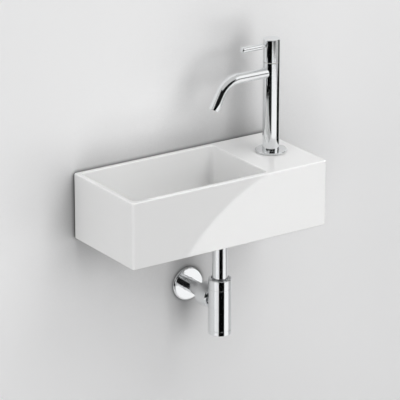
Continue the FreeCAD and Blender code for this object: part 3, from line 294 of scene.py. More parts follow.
def two_tone(material, shader, mask, first, second):
    """Base colour that goes from first to second with the mask."""
    mix = material.node_tree.nodes.new("ShaderNodeMix")
    mix.data_type = "RGBA"
    mix.inputs["A"].default_value = (*first, 1)
    mix.inputs["B"].default_value = (*second, 1)
    material.node_tree.links.new(mask, mix.inputs["Factor"])
    wire(mix, "Result", shader, "Base Color")


def shade(tint, factor):
    """A colour made lighter or darker."""
    return tuple(min(1.0, part * factor) for part in tint)


def glaze_material(finish):
    """Glossy white glaze with a faint ripple. The back face, against the wall, is bare and matt."""
    material, shader = blank_material("glaze")
    nodes = material.node_tree.nodes
    shader.inputs["IOR"].default_value = 1.52
    soft = uneven(material, Scale=26.0, Low=0.015, High=0.035)
    place = nodes.new("ShaderNodeTexCoord")
    split = nodes.new("ShaderNodeSeparateXYZ")
    bare = nodes.new("ShaderNodeMapRange")
    bare.inputs["From Min"].default_value = -1.4 * MM
    bare.inputs["From Max"].default_value = -0.8 * MM
    wire(place, "Object", split, "Vector")
    wire(split, "Y", bare, "Value")
    two_tone(material, shader, bare.outputs["Result"], finish.glaze, finish.bisque)
    rough = nodes.new("ShaderNodeMix")
    wire(bare, "Result", rough, "Factor")
    wire(soft, "Mask", rough, "A")
    rough.inputs["B"].default_value = 0.75
    wire(rough, "Result", shader, "Roughness")
    bump(material, shader, soft.outputs["Height"], 0.35 * MM, 0.12)
    return material


def chrome_material(finish):
    """Bright chrome plating, with the faintest haze where it is wiped."""
    material, shader = blank_material("chrome")
    soft = uneven(material, Scale=70.0, Low=0.02, High=0.055)
    wire(soft, "Mask", shader, "Roughness")
    shader.inputs["Metallic"].default_value = 1.0
    two_tone(material, shader, soft.outputs["Mask"], finish.chrome, shade(finish.chrome, 0.96))
    return material


def machined_material(name, tint, low, high, scale, stretch):
    """Bare or plated metal with fine marks from turning."""
    material, shader = blank_material(name)
    group = shared("Tool marks", marks_group)
    marks = placed_group(material, group, Scale=scale, Stretch=stretch, Low=low, High=high)
    soft = uneven(material, Scale=90.0)
    shader.inputs["Metallic"].default_value = 1.0
    wire(marks, "Mask", shader, "Roughness")
    two_tone(material, shader, soft.outputs["Mask"], shade(tint, 0.82), shade(tint, 1.12))
    bump(material, shader, marks.outputs["Height"], 0.03 * MM, 0.5)
    return material


def moulded_material(name, tint, low, high, scale, depth):
    """A moulded or ground surface: one colour, cloudy gloss and a fine grain."""
    material, shader = blank_material(name)
    soft = uneven(material, Scale=60.0, Low=low, High=high)
    grain = uneven(material, Scale=scale)
    wire(soft, "Mask", shader, "Roughness")
    two_tone(material, shader, grain.outputs["Mask"], shade(tint, 0.85), shade(tint, 1.15))
    bump(material, shader, grain.outputs["Height"], depth, 0.6)
    return material


def make_materials(finish):
    """All the finishes, by the record's slot names."""
    glaze_material(finish)
    chrome_material(finish)
    machined_material("brass", finish.brass, 0.22, 0.38, 260, 10)
    machined_material("steel", finish.steel, 0.25, 0.45, 320, 6)
    moulded_material("black_rubber", finish.rubber, 0.38, 0.6, 900, 0.05 * MM)
    moulded_material("grey_plastic", finish.grey_plastic, 0.35, 0.5, 1200, 0.03 * MM)
    moulded_material("white_plastic", finish.white_plastic, 0.25, 0.4, 1200, 0.02 * MM)
    moulded_material("alumina", finish.alumina, 0.12, 0.2, 1500, 0.01 * MM)


def finish_named(slot):
    """The material for a slot, all of them being made on the first call."""
    if slot not in bpy.data.materials:
        make_materials(bpy.context.scene.basin_finish)
    return bpy.data.materials[slot]


# ---- Meshes: outlines and turned pieces
def ordered_chains(edges):
    """The edges joined end to end, as lists of vertices. A closed chain repeats its first."""
    left = set(edges)
    chains = []
    while left:
        ends = [v for e in left for v in e.verts if sum(x in left for x in v.link_edges) == 1]
        vert = ends[0] if ends else next(iter(left)).verts[0]
        chain = [vert]
        while True:
            step = next((e for e in vert.link_edges if e in left), None)
            if step is None:
                break
            left.discard(step)
            vert = step.other_vert(vert)
            chain.append(vert)
        chains.append(chain)
    return chains


def axis_frame(centre, axis):
    """The matrix that puts the axis upright on the origin."""
    return axis.rotation_difference(UP).to_matrix().to_4x4() @ Matrix.Translation(-centre)


def section_of(node, centre, axis):
    """A turned node's outline as (radius, height) points, and whether it is closed."""
    bm = bmesh.new()
    bm.from_mesh(frame["nodes"][node].data)
    bmesh.ops.remove_doubles(bm, verts=bm.verts, dist=1e-6)
    bmesh.ops.transform(bm, matrix=axis_frame(centre, axis), verts=bm.verts)
    everything = bm.verts[:] + bm.edges[:] + bm.faces[:]
    bmesh.ops.bisect_plane(bm, geom=everything, dist=MERGE, plane_no=(1, 0, 0), clear_inner=True)
    everything = bm.verts[:] + bm.edges[:] + bm.faces[:]
    cut = bmesh.ops.bisect_plane(bm, geom=everything, dist=MERGE, plane_no=(0, 1, 0))["geom_cut"]
    edges = [e for e in cut if isinstance(e, bmesh.types.BMEdge)]
    chains = ordered_chains([e for e in edges if max(v.co.x for v in e.verts) > MERGE])
    if not chains:
        raise RuntimeError("no outline found for " + node)
    chain = min(chains, key=lambda verts: max(v.co.x for v in verts))
    closed = chain[0] == chain[-1]
    points = [Vector((v.co.x, v.co.z)) for v in (chain[:-1] if closed else chain)]
    bm.free()
    return without_straight_points(points, closed), closed


def without_straight_points(points, closed):
    """The outline without the points that lie on a straight stretch or on each other."""
    kept = []
    count = len(points)
    for i, point in enumerate(points):
        if not closed and i in (0, count - 1):
            kept.append(point)
            continue
        before = point - points[i - 1]
        after = points[(i + 1) % count] - point
        if before.length < 2e-6:
            continue
        if abs(before.x * after.y - before.y * after.x) < 1e-4 * before.length * after.length:
            continue
        kept.append(point)
    return kept


def with_round_corners(points, closed, radius, steps=4, least_turn=35):
    """The outline with an arc on each real corner, and a point beside each to keep flats flat."""
    count = len(points)
    out = []
    for i, point in enumerate(points):
        if not closed and i in (0, count - 1):
            out.append(point)
            continue
        before = points[i - 1] - point
        after = points[(i + 1) % count] - point
        turn = math.pi - before.angle(after)
        room = 0.42 * min(before.length, after.length)
        if turn < math.radians(least_turn) or point.x < MERGE:
            out.append(point)
            continue
        trim = min(room, radius * math.tan(turn / 2))
        start, end = point + before.normalized() * trim, point + after.normalized() * trim
        guard = min(0.15 * MM, 0.15 * min(before.length, after.length))
        out.append(start + before.normalized() * guard)
        for step in range(steps + 1):
            share = step / steps
            first = start.lerp(point, share)
            out.append(first.lerp(point.lerp(end, share), share))
        out.append(end + after.normalized() * guard)
    return out


def circle(radius, height, segments):
    """The points of a level circle round the upright axis."""
    turns = [2 * math.pi * k / segments for k in range(segments)]
    return [(radius * math.cos(turn), radius * math.sin(turn), height) for turn in turns]


def spun_mesh(name, points, closed, segments):
    """A mesh of revolution about the upright axis, from (radius, height) points."""
    bm = bmesh.new()
    rings = []
    for radius, height in points:
        if radius < MERGE:
            rings.append([bm.verts.new((0, 0, height))])
        else:
            rings.append([bm.verts.new(point) for point in circle(radius, height, segments)])
    pairs = list(zip(rings, rings[1:])) + ([(rings[-1], rings[0])] if closed else [])
    for low, high in pairs:
        if len(low) == 1 and len(high) == 1:
            continue
        for k in range(segments):
            n = (k + 1) % segments
            lower = [low[k % len(low)], low[n % len(low)]]
            upper = [high[n % len(high)], high[k % len(high)]]
            bm.faces.new(list(dict.fromkeys(lower + upper)))
    bmesh.ops.recalc_face_normals(bm, faces=bm.faces)
    mesh = bpy.data.meshes.new(name)
    bm.to_mesh(mesh)
    bm.free()
    return mesh


def respun_mesh(node, centre, axis, edge, segments=128, inset=0.0, ease=0.0):
    """A fine mesh of a turned node, from its own outline, with soft edges.

    Inset makes it thinner, and ease draws its outline in on all sides.
    """
    points, closed = section_of(node, centre, axis)
    if inset:
        points = [Vector((max(0.0, p.x - inset) if p.x > 2 * inset else p.x, p.y)) for p in points]
    if ease:
        heart = sum(points, Vector((0, 0))) / len(points)
        points = [p + (heart - p).normalized() * ease for p in points]
    mesh = spun_mesh(node, with_round_corners(points, closed, edge), closed, segments)
    mesh.transform(axis_frame(centre, axis).inverted())
    return mesh


def merged_mesh(node):
    """A copy of a node's mesh with its loose triangles joined, and flat faces whole again."""
    bm = bmesh.new()
    bm.from_mesh(frame["nodes"][node].data)
    bmesh.ops.remove_doubles(bm, verts=bm.verts, dist=1e-6)
    bmesh.ops.dissolve_limit(bm, angle_limit=math.radians(0.5), verts=bm.verts, edges=bm.edges)
    mesh = bpy.data.meshes.new(node)
    bm.to_mesh(mesh)
    bm.free()
    return mesh


# ---- Objects
def linked(name, mesh):
    """An object in the scene."""
    thing = bpy.data.objects.new(name, mesh)
    bpy.context.scene.collection.objects.link(thing)
    return thing


def evaluated_mesh(thing):
    """The object's mesh with its modifiers, as a plain mesh."""
    graph = bpy.context.evaluated_depsgraph_get()
    graph.update()
    return bpy.data.meshes.new_from_object(
        thing.evaluated_get(graph), preserve_all_data_layers=True, depsgraph=graph
    )


def baked(thing):
    """The object with its modifiers worked into its mesh."""
    mesh = evaluated_mesh(thing)
    thing.modifiers.clear()
    old = thing.data
    thing.data = mesh
    bpy.data.meshes.remove(old)
    return thing


def modified(thing, kind, **settings):
    """The object with one modifier worked into its mesh."""
    modifier = thing.modifiers.new(kind, kind)
    for name, value in settings.items():
        setattr(modifier, name, value)
    return baked(thing)


def cut_by(thing, cutter_mesh):
    """The object with another mesh cut from it."""
    cutter = linked("cutter", cutter_mesh)
    modified(thing, "BOOLEAN", operation="DIFFERENCE", solver="EXACT", object=cutter)
    bpy.data.objects.remove(cutter)
    return thing


def smooth(thing, angle=38, weighted=False):
    """Smooth shading that breaks at edges sharper than the angle."""
    mesh = thing.data
    mesh.shade_smooth()
    mesh.set_sharp_from_angle(angle=math.radians(angle))
    if weighted:
        modified(thing, "WEIGHTED_NORMAL", keep_sharp=True, weight=100)
    return thing


def softened(thing, width, segments=2, angle=40):
    """The object with its sharp edges bevelled."""
    limit = {"limit_method": "ANGLE", "angle_limit": math.radians(angle), "use_clamp_overlap": True}
    return modified(thing, "BEVEL", width=width, segments=segments, **limit)


def dressed(thing, slot, body, *nodes):
    """The object with its finish, riding on its body and standing for its CAD nodes."""
    thing.data.materials.clear()
    thing.data.materials.append(finish_named(slot))
    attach(thing, body)
    if nodes:
        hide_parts(*nodes)
    return thing


def turned_piece(node, centre, axis, slot, body="basin", edge=None, **form):
    """A turned CAD node as a fine piece of its own."""
    edge = edge or bpy.context.scene.basin_sizes.chrome_edge
    thing = linked("fine_" + node, respun_mesh(node, centre, axis, edge, **form))
    return dressed(smooth(thing), slot, body, node)


def shaped_piece(node, slot, body="basin", edge=0.0, segments=2):
    """Any other CAD node as a smoothed piece of its own."""
    thing = linked("fine_" + node, merged_mesh(node))
    if edge:
        softened(thing, edge, segments)
    return dressed(smooth(thing, weighted=True), slot, body, node)


def finish_in_place(node, slot):
    """A CAD node that stays as it is, with its finish."""
    thing = frame["nodes"][node]
    thing.data.materials.clear()
    thing.data.materials.append(finish_named(slot))


# ---- Geometry Nodes
def thread_tree():
    """A screw thread's ridge: a three-sided bar wound round the upright axis."""
    group, start, end = socketed_group(
        "Thread ridge",
        "GeometryNodeTree",
        [
            ("Radius", "NodeSocketFloat", 3 * MM),
            ("Pitch", "NodeSocketFloat", 1 * MM),
            ("Length", "NodeSocketFloat", 20 * MM),
            ("Ridge", "NodeSocketFloat", 0.4 * MM),
            ("Steps", "NodeSocketInt", THREAD_STEPS),
            ("Finish", "NodeSocketMaterial", None),
        ],
        [("Geometry", "NodeSocketGeometry")],
    )
    nodes = group.nodes
    turns = nodes.new("ShaderNodeMath")
    turns.operation = "DIVIDE"
    spiral = nodes.new("GeometryNodeCurveSpiral")
    bar = nodes.new("GeometryNodeCurvePrimitiveCircle")
    bar.mode = "RADIUS"
    bar.inputs["Resolution"].default_value = 3
    sweep = nodes.new("GeometryNodeCurveToMesh")
    sweep.inputs["Fill Caps"].default_value = True
    smooth_node = nodes.new("GeometryNodeSetShadeSmooth")
    smooth_node.inputs["Shade Smooth"].default_value = False
    real = nodes.new("GeometryNodeRealizeInstances")
    coat = nodes.new("GeometryNodeSetMaterial")
    wire(start, "Length", turns, 0)
    wire(start, "Pitch", turns, 1)
    wire(start, "Steps", spiral, "Resolution")
    wire(turns, "Value", spiral, "Rotations")
    wire(start, "Radius", spiral, "Start Radius")
    wire(start, "Radius", spiral, "End Radius")
    wire(start, "Length", spiral, "Height")
    wire(start, "Ridge", bar, "Radius")
    wire(spiral, "Curve", sweep, "Curve")
    wire(bar, "Curve", sweep, "Profile Curve")
    wire(sweep, "Mesh", smooth_node, "Geometry")
    wire(smooth_node, "Geometry", real, "Geometry")
    wire(real, "Geometry", coat, "Geometry")
    wire(start, "Finish", coat, "Material")
    wire(coat, "Geometry", end, "Geometry")
    return group


def grown(name, tree, place, **values):
    """A piece grown by a node tree, as a plain mesh moved to its place."""
    thing = linked(name, bpy.data.meshes.new(name))
    modifier = thing.modifiers.new("grow", "NODES")
    modifier.node_group = tree
    for item in tree.interface.items_tree:
        if item.in_out == "INPUT" and item.name in values:
            modifier[item.identifier] = values[item.name]
    baked(thing)
    bm = bmesh.new()
    bm.from_mesh(thing.data)
    bmesh.ops.remove_doubles(bm, verts=bm.verts, dist=MERGE)
    bmesh.ops.recalc_face_normals(bm, faces=bm.faces)
    bm.to_mesh(thing.data)
    bm.free()
    thing.data.transform(place)
    return thing


def thread(name, body, slot, foot, axis, run, radius, pitch, ridge):
    """A thread ridge along an axis, from its foot."""
    tree = shared("Thread ridge", thread_tree)
    form = {"Radius": radius, "Pitch": pitch, "Length": run, "Ridge": ridge}
    place = axis_frame(foot, axis).inverted()
    thing = grown(name, tree, place, Steps=THREAD_STEPS, Finish=finish_named(slot), **form)
    return dressed(thing, slot, body)


# ---- The glazed basin
def box_bm(low, high):
    """A box between two corners."""
    bm = bmesh.new()
    bmesh.ops.create_cube(bm, size=1)
    size, centre = high - low, (high + low) / 2
    place = Matrix.Translation(centre) @ Matrix.Diagonal((*size, 1))
    bmesh.ops.transform(bm, matrix=place, verts=bm.verts)
    return bm


def upright(bm):
    """The upright edges."""
    return [e for e in bm.edges if (e.verts[0].co.xy - e.verts[1].co.xy).length < 1e-6]


def level(bm, height, reach=1e-5):
    """The edges that lie at one height."""
    return [e for e in bm.edges if all(abs(v.co.z - height) < reach for v in e.verts)]


def rounded(bm, edges, radius, segments):
    """The edges rounded to a radius."""
    form = {"offset": radius, "offset_type": "OFFSET", "segments": segments, "profile": 0.5}
    bmesh.ops.bevel(bm, geom=edges, affect="EDGES", **form)


def mesh_of(bm, name):
    """The bmesh as a mesh, outward facing."""
    bmesh.ops.recalc_face_normals(bm, faces=bm.faces)
    mesh = bpy.data.meshes.new(name)
    bm.to_mesh(mesh)
    bm.free()
    return mesh


def cylinder_mesh(radius, low, high, centre, segments=128):
    """A plain upright cylinder to cut with."""
    points = [(0, low), (radius, low), (radius, high), (0, high)]
    mesh = spun_mesh("cutter", points, False, segments)
    mesh.transform(Matrix.Translation(Vector((centre.x, centre.y, 0))))
    return mesh


def edit(thing, worker):
    """The object's mesh after a worker has changed it as a bmesh."""
    bm = bmesh.new()
    bm.from_mesh(thing.data)
    worker(bm)
    bm.to_mesh(thing.data)
    bm.free()


def basin_block(sizes):
    """The outer block with rounded corners, rim and foot."""
    bm = box_bm(BASIN_LOW, BASIN_HIGH)
    rounded(bm, upright(bm), sizes.corner_radius, 8)
    rounded(bm, level(bm, BASIN_HIGH.z), sizes.rim_radius, 6)
    rounded(bm, level(bm, BASIN_LOW.z), sizes.foot_radius, 4)
    return linked("fine_basin_body", mesh_of(bm, "basin_body"))


def bowl_cutter(sizes):
    """The space inside the bowl. Its floor falls one degree to the right."""
    wall = sizes.wall
    floor, top = RIM - sizes.bowl_depth, RIM + wall
    low = Vector((BASIN_LOW.x + wall, BASIN_LOW.y + wall, floor))
    bm = box_bm(low, Vector((BASIN_HIGH.x - sizes.deck_width, BASIN_HIGH.y - wall, top)))
    rounded(bm, upright(bm), sizes.bowl_corner_radius, 10)
    rounded(bm, level(bm, floor), sizes.bowl_floor_radius, 10)
    fall = math.tan(math.radians(1))
    for vert in bm.verts:
        vert.co.z -= fall * (vert.co.x - DRAIN.x) * (top - vert.co.z) / (top - floor)
    return mesh_of(bm, "cutter")


def hollow_cutter(sizes, left, right, top):
    """One hollow of the underside."""
    low = Vector((left, BASIN_LOW.y + sizes.wall, BASIN_LOW.z - sizes.wall))
    bm = box_bm(low, Vector((right, BASIN_HIGH.y - sizes.wall, top)))
    rounded(bm, upright(bm), HOLLOW_CORNER_RADIUS, 6)
    rounded(bm, level(bm, top), HOLLOW_TOP_RADIUS, 5)
    return mesh_of(bm, "cutter")


def soft_mouth(bm, sizes):
    """Rounds the bowl's mouth where it meets the rim."""
    left, right = BASIN_LOW.x + sizes.wall - 1e-5, BASIN_HIGH.x - sizes.deck_width + 1e-5
    front, back = BASIN_LOW.y + sizes.wall - 1e-5, BASIN_HIGH.y - sizes.wall + 1e-5
    mouth = [
        e for e in level(bm, RIM)
        if all(left < v.co.x < right and front < v.co.y < back for v in e.verts)
        and any(abs(f.normal.z) < 0.5 for f in e.link_faces)
    ]
    rounded(bm, mouth, sizes.rim_radius, 6)


def with_whole_flats(bm):
    """Joins the strips that the cuts leave in flat faces, which would show as creases."""
    bmesh.ops.dissolve_limit(bm, angle_limit=math.radians(0.02), verts=bm.verts, edges=bm.edges)


def make_basin(sizes):
    """The whole glazed body."""
    basin = basin_block(sizes)
    cut_by(basin, bowl_cutter(sizes))
    edit(basin, lambda bm: soft_mouth(bm, sizes))
    wall = sizes.wall
    left, right = BASIN_LOW.x + wall, BASIN_HIGH.x - wall
    deck_left = BASIN_HIGH.x - sizes.deck_width + wall
    holder = linked("hollow", hollow_cutter(sizes, left, right, RIM - sizes.floor_underside))
    cut_by(holder, cylinder_mesh(sizes.boss_radius, RIM - sizes.boss_drop, RIM, DRAIN))
    cut_by(basin, holder.data.copy())
    bpy.data.objects.remove(holder)
    cut_by(basin, hollow_cutter(sizes, deck_left, right, RIM - sizes.deck_thickness))
    cut_by(basin, waste_cutter(sizes))
    cut_by(basin, cylinder_mesh(TAP_HOLE_RADIUS, BASIN_LOW.z, RIM + wall, TAP))
    for place in FIXINGS:
        hole = cylinder_mesh(FIXING_HOLE_RADIUS, -3 * wall, wall, Vector((0, 0, 0)), 64)
        hole.transform(axis_frame(place, INTO_WALL).inverted())
        cut_by(basin, hole)
    edit(basin, with_whole_flats)
    lit = bpy.data.collections.get("beam_lit")
    if lit:
        lit.objects.link(basin)
    return dressed(smooth(basin, 30, weighted=True), "glaze", "basin", "basin_body")


def waste_cutter(sizes):
    """The round recess in the bowl's floor, its cone and its bore, with soft glazed edges."""
    floor = RIM - sizes.bowl_depth
    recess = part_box("drain_gasket")[0].z
    outline = (
        (0, BASIN_LOW.z),
        (WASTE_BORE, BASIN_LOW.z),
        (WASTE_BORE, recess - WASTE_CONE_HEIGHT),
        (WASTE_CONE, recess),
        (WASTE_RECESS, recess),
        (WASTE_RECESS, floor - 1.2 * MM),
        (WASTE_MOUTH, floor + 0.4 * MM),
        (WASTE_MOUTH, RIM),
        (0, RIM),
    )
    points = with_round_corners([Vector(point) for point in outline], False, WASTE_GLAZE_RADIUS)
    mesh = spun_mesh("cutter", points, False, 160)
    mesh.transform(Matrix.Translation(DRAIN))
    return mesh


# ---- The tap's spout
def spout_along(angle):
    """The spout's direction where it has turned down by an angle."""
    return Vector((-math.cos(angle), 0, -math.sin(angle)))


def spout_up(angle):
    """The direction square to it, up and away from the bend's centre."""
    return Vector((-math.sin(angle), 0, math.cos(angle)))


def spout_path():
    """The spout's centre line with its angles, from the column to the mouth, and its radius."""
    low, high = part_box("tap_spout")
    radius = (high.y - low.y) / 2
    level_z = high.z - radius
    bend_x = TAP.x - SPOUT_LEVEL_REACH
    centre = Vector((bend_x, TAP.y, level_z - SPOUT_BEND))
    path = [(Vector((TAP.x - SPOUT_START, TAP.y, level_z)), 0.0)]
    path += [(Vector((bend_x + before, TAP.y, level_z)), 0.0) for before in (20 * MM, 10 * MM)]
    for step in range(33):
        angle = SPOUT_TURN * step / 32
        path.append((centre + spout_up(angle) * SPOUT_BEND, angle))
    end = path[-1][0]
    tail = spout_along(SPOUT_TURN) * SPOUT_TAIL
    path += [(end + tail * share, SPOUT_TURN) for share in (0.5, 0.985, 1.0)]
    return path, radius


def spout_mesh(segments=96):
    """The bent tube with a rounded lip, a wall and an inside."""
    path, radius = spout_path()
    bm = bmesh.new()
    rings = []

    def ring(centre, angle, size):
        up = spout_up(angle)
        points = circle(size, 0, segments)
        rings.append([bm.verts.new(centre + INTO_WALL * x + up * y) for x, y, _ in points])

    for centre, angle in path[:-1]:
        ring(centre, angle, radius)
    mouth, angle = path[-1]
    along = spout_along(angle)
    for step in range(1, 6):
        turn = math.pi / 2 * step / 5
        back, inward = SPOUT_LIP * (1 - math.sin(turn)), SPOUT_LIP * (1 - math.cos(turn))
        ring(mouth - along * back, angle, radius - inward)
    ring(mouth, angle, SPOUT_LIP_BORE)
    ring(mouth - along * (SPOUT_LIP_BORE - SPOUT_MOUTH_BORE), angle, SPOUT_MOUTH_BORE)
    ring(mouth - along * SPOUT_MOUTH_DEPTH, angle, SPOUT_MOUTH_BORE)
    ring(mouth - along * SPOUT_MOUTH_DEPTH, angle, SPOUT_BORE)
    for centre, angle in reversed(path[:-2]):
        ring(centre, angle, SPOUT_BORE)
    for low, high in zip(rings, rings[1:] + rings[:1]):
        for k in range(segments):
            n = (k + 1) % segments
            bm.faces.new((low[k], low[n], high[n], high[k]))
    return mesh_of(bm, "tap_spout")


# ---- Operators
class BuildStep:
    """What every operator here does: it builds its pieces in the scene."""

    def execute(self, context):
        self.build(context.scene)
        return {"FINISHED"}


class BASIN_OT_body(BuildStep, bpy.types.Operator):
    """Build the glazed basin"""

    bl_idname = "basin.body"
    bl_label = "Glazed basin"

    def build(self, scene):
        make_basin(scene.basin_sizes)


class BASIN_OT_fixings(BuildStep, bpy.types.Operator):
    """Build the two wall fixings"""

    bl_idname = "basin.fixings"
    bl_label = "Wall fixings"

    def build(self, scene):
        shaped_piece("wall_plugs", "grey_plastic", edge=0.2 * MM)
        shaped_piece("fixing_bushes", "white_plastic", edge=0.3 * MM)
        shaped_piece("fixing_washers", "steel", edge=0.2 * MM)
        shaped_piece("fixing_nuts", "steel", edge=0.15 * MM)
        shaped_piece("wall_bolts", "steel")
        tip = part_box("wall_bolts")[0].y
        for number, place in enumerate(FIXINGS):
            foot = Vector((place.x, tip + THREAD_LEAD_IN, place.z))
            name = "bolt_thread_%d" % number
            thread(name, "basin", "steel", foot, INTO_WALL, BOLT_THREAD_LENGTH, **BOLT_THREAD)


class BASIN_OT_waste(BuildStep, bpy.types.Operator):
    """Build the waste in the bowl's floor"""

    bl_idname = "basin.waste"
    bl_label = "Waste"

    def build(self, scene):
        rubber = scene.basin_sizes.rubber_edge
        for node in ("drain_gasket", "drain_under_washer", "rod_grip_ring", "drain_seat_ring"):
            turned_piece(node, DRAIN, UP, "black_rubber", edge=rubber)
        shaped_piece("drain_funnel", "chrome")
        shaped_piece("drain_back_nut", "brass", edge=0.3 * MM)


class BASIN_OT_plug(BuildStep, bpy.types.Operator):
    """Build the lift-and-tilt plug"""

    bl_idname = "basin.plug"
    bl_label = "Plug"

    def build(self, scene):
        turned_piece("plug_disc", PIVOT, PLUG_AXIS, "chrome", "plug_cover", edge=0.5 * MM)
        shaped_piece("plug_yoke", "steel", "plug_cover", edge=0.25 * MM)
        shaped_piece("plug_pivot_pin", "steel", "plug_stem", edge=0.2 * MM)
        shaped_piece("plug_block", "brass", "plug_stem", edge=0.3 * MM)
        turned_piece("plug_rod", DRAIN, UP, "steel", "plug_stem", segments=48, inset=0.3 * MM)
        shaped_piece("plug_stop_nut", "steel", "plug_stem", edge=0.15 * MM)
        low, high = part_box("plug_rod")
        foot = Vector((DRAIN.x, DRAIN.y, low.z + THREAD_LEAD_IN))
        run = high.z - low.z - 1.5 * MM
        thread("plug_rod_thread", "plug_stem", "steel", foot, UP, run, **ROD_THREAD)


class BASIN_OT_trap(BuildStep, bpy.types.Operator):
    """Build the bottle trap and its outlet"""

    bl_idname = "basin.trap"
    bl_label = "Bottle trap"

    def build(self, scene):
        rubber = scene.basin_sizes.rubber_edge
        for node in ("union_nut", "trap_tube", "trap_top_nut"):
            turned_piece(node, DRAIN, UP, "chrome")
        turned_piece("trap_cup", DRAIN, UP, "chrome", "cup")
        for node in ("union_seal", "trap_top_seal"):
            turned_piece(node, DRAIN, UP, "black_rubber", edge=rubber)
        seal = {"edge": rubber, "ease": SEAL_EASE}
        turned_piece("trap_cup_seal", DRAIN, UP, "black_rubber", "cup_seal", **seal)
        shaped_piece("trap_bottle", "chrome")
        turned_piece("outlet_nut", OUTLET, INTO_WALL, "chrome")
        turned_piece("outlet_pipe", OUTLET, INTO_WALL, "chrome", edge=0.15 * MM)
        turned_piece("outlet_seal", OUTLET, INTO_WALL, "black_rubber", edge=rubber)
        turned_piece("wall_rosette", OUTLET, INTO_WALL, "chrome", "rosette", edge=0.3 * MM)


class BASIN_OT_tap(BuildStep, bpy.types.Operator):
    """Build the tap's body, spout, aerator and deck fixing"""

    bl_idname = "basin.tap"
    bl_label = "Tap"

    def build(self, scene):
        rubber = scene.basin_sizes.rubber_edge
        turned_piece("tap_column", TAP, UP, "chrome", segments=192)
        turned_piece("tap_base_flange", TAP, UP, "chrome", segments=192)
        spout = linked("fine_tap_spout", spout_mesh())
        dressed(smooth(spout), "chrome", "basin", "tap_spout")
        shaped_piece("aerator", "grey_plastic")
        finish_in_place("aerator_seal", "black_rubber")
        turned_piece("tap_base_seal", TAP, UP, "black_rubber", edge=rubber)
        turned_piece("tap_shank", TAP, UP, "brass", segments=96, inset=0.45 * MM)
        turned_piece("tap_rubber_washer", TAP, UP, "black_rubber", edge=rubber)
        turned_piece("tap_clamp_plate", TAP, UP, "steel")
        shaped_piece("tap_lock_nut", "brass", edge=0.25 * MM)
        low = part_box("tap_shank")[0].z
        foot = Vector((TAP.x, TAP.y, low + SHANK_LEAD_IN))
        thread("shank_thread", "basin", "brass", foot, UP, SHANK_THREAD_LENGTH, **SHANK_THREAD)


class BASIN_OT_headwork(BuildStep, bpy.types.Operator):
    """Finish the ceramic headwork inside the tap"""

    bl_idname = "basin.headwork"
    bl_label = "Headwork"

    def build(self, scene):
        finish_in_place("valve_seat_seal", "black_rubber")
        shaped_piece("fixed_disc", "alumina")
        shaped_piece("turning_disc", "alumina", "handle")
        shaped_piece("headwork_body", "brass")
        shaped_piece("headwork_spindle", "brass", "handle")
        shaped_piece("spindle_clip", "steel", "handle")


class BASIN_OT_handle(BuildStep, bpy.types.Operator):
    """Build the turning head and its lever"""

    bl_idname = "basin.handle"
    bl_label = "Handle"

    def build(self, scene):
        turned_piece("handle_head", TAP, UP, "chrome", "handle", segments=192)
        turned_piece("handle_lever", LEVER, -RIGHT, "chrome", "handle", segments=96)
        shaped_piece("handle_grub_screw", "steel", "handle")


# ---- Stage
CAMERA_PLACE = Vector((-2.3281, -3.5547, 1.5546))
CAMERA_YAW = 0.5906
CAMERA_PITCH = 0.3477
CAMERA_LENS = 256.8
LIT_PLACE = Vector((0.02, -0.08, 0.03))
BEAM_PLACE = Vector((185.5 * MM, -0.5, -227.6 * MM))
BEAM_RADIUS = 344.8 * MM
BEAM_SPREAD = math.radians(2)
WALL_PLACE = -0.5 * MM
WALL_SIDE, WALL_TOP = 3, 3
FLOOR_HEIGHT = -0.85
FLOOR_RADIUS = 2.55
WALL_BOUNCE, FLOOR_BOUNCE = 0.7, 0.45
# How far the painted shade (ambient occlusion in the wall and floor colours) reaches: broadly, and
# at contacts.
PAINTED_WALL_SHADE_REACH, PAINTED_CONTACT_SHADE_REACH = 0.17, 6 * MM
BACKGROUND = (0.77, 0.77, 0.775)
DARK_STUDIO = 0.012
SOFT_GLOW, GREY_GLOW = 0.6, 0.5
TAP_TOP = Vector((TAP.x, TAP.y, 0.2))
BOTTLE = Vector((DRAIN.x, DRAIN.y, -0.14))
# The front panel in its upright plane: across and up, in millimetres. The tap and trap mirror it as
# white bands. Its lower left side is cut to an arc, so that the front mirrors it inside the beam.
FRONT_PANEL_PLACE = -1.34
FRONT_PANEL = (
    (-620, -414), (860, -414), (832, -430), (782, -463), (738, -503), (691, -550), (660, -575),
    (600, -600), (600, -900), (1250, -900), (1250, -150), (700, -130), (-620, -120),
)


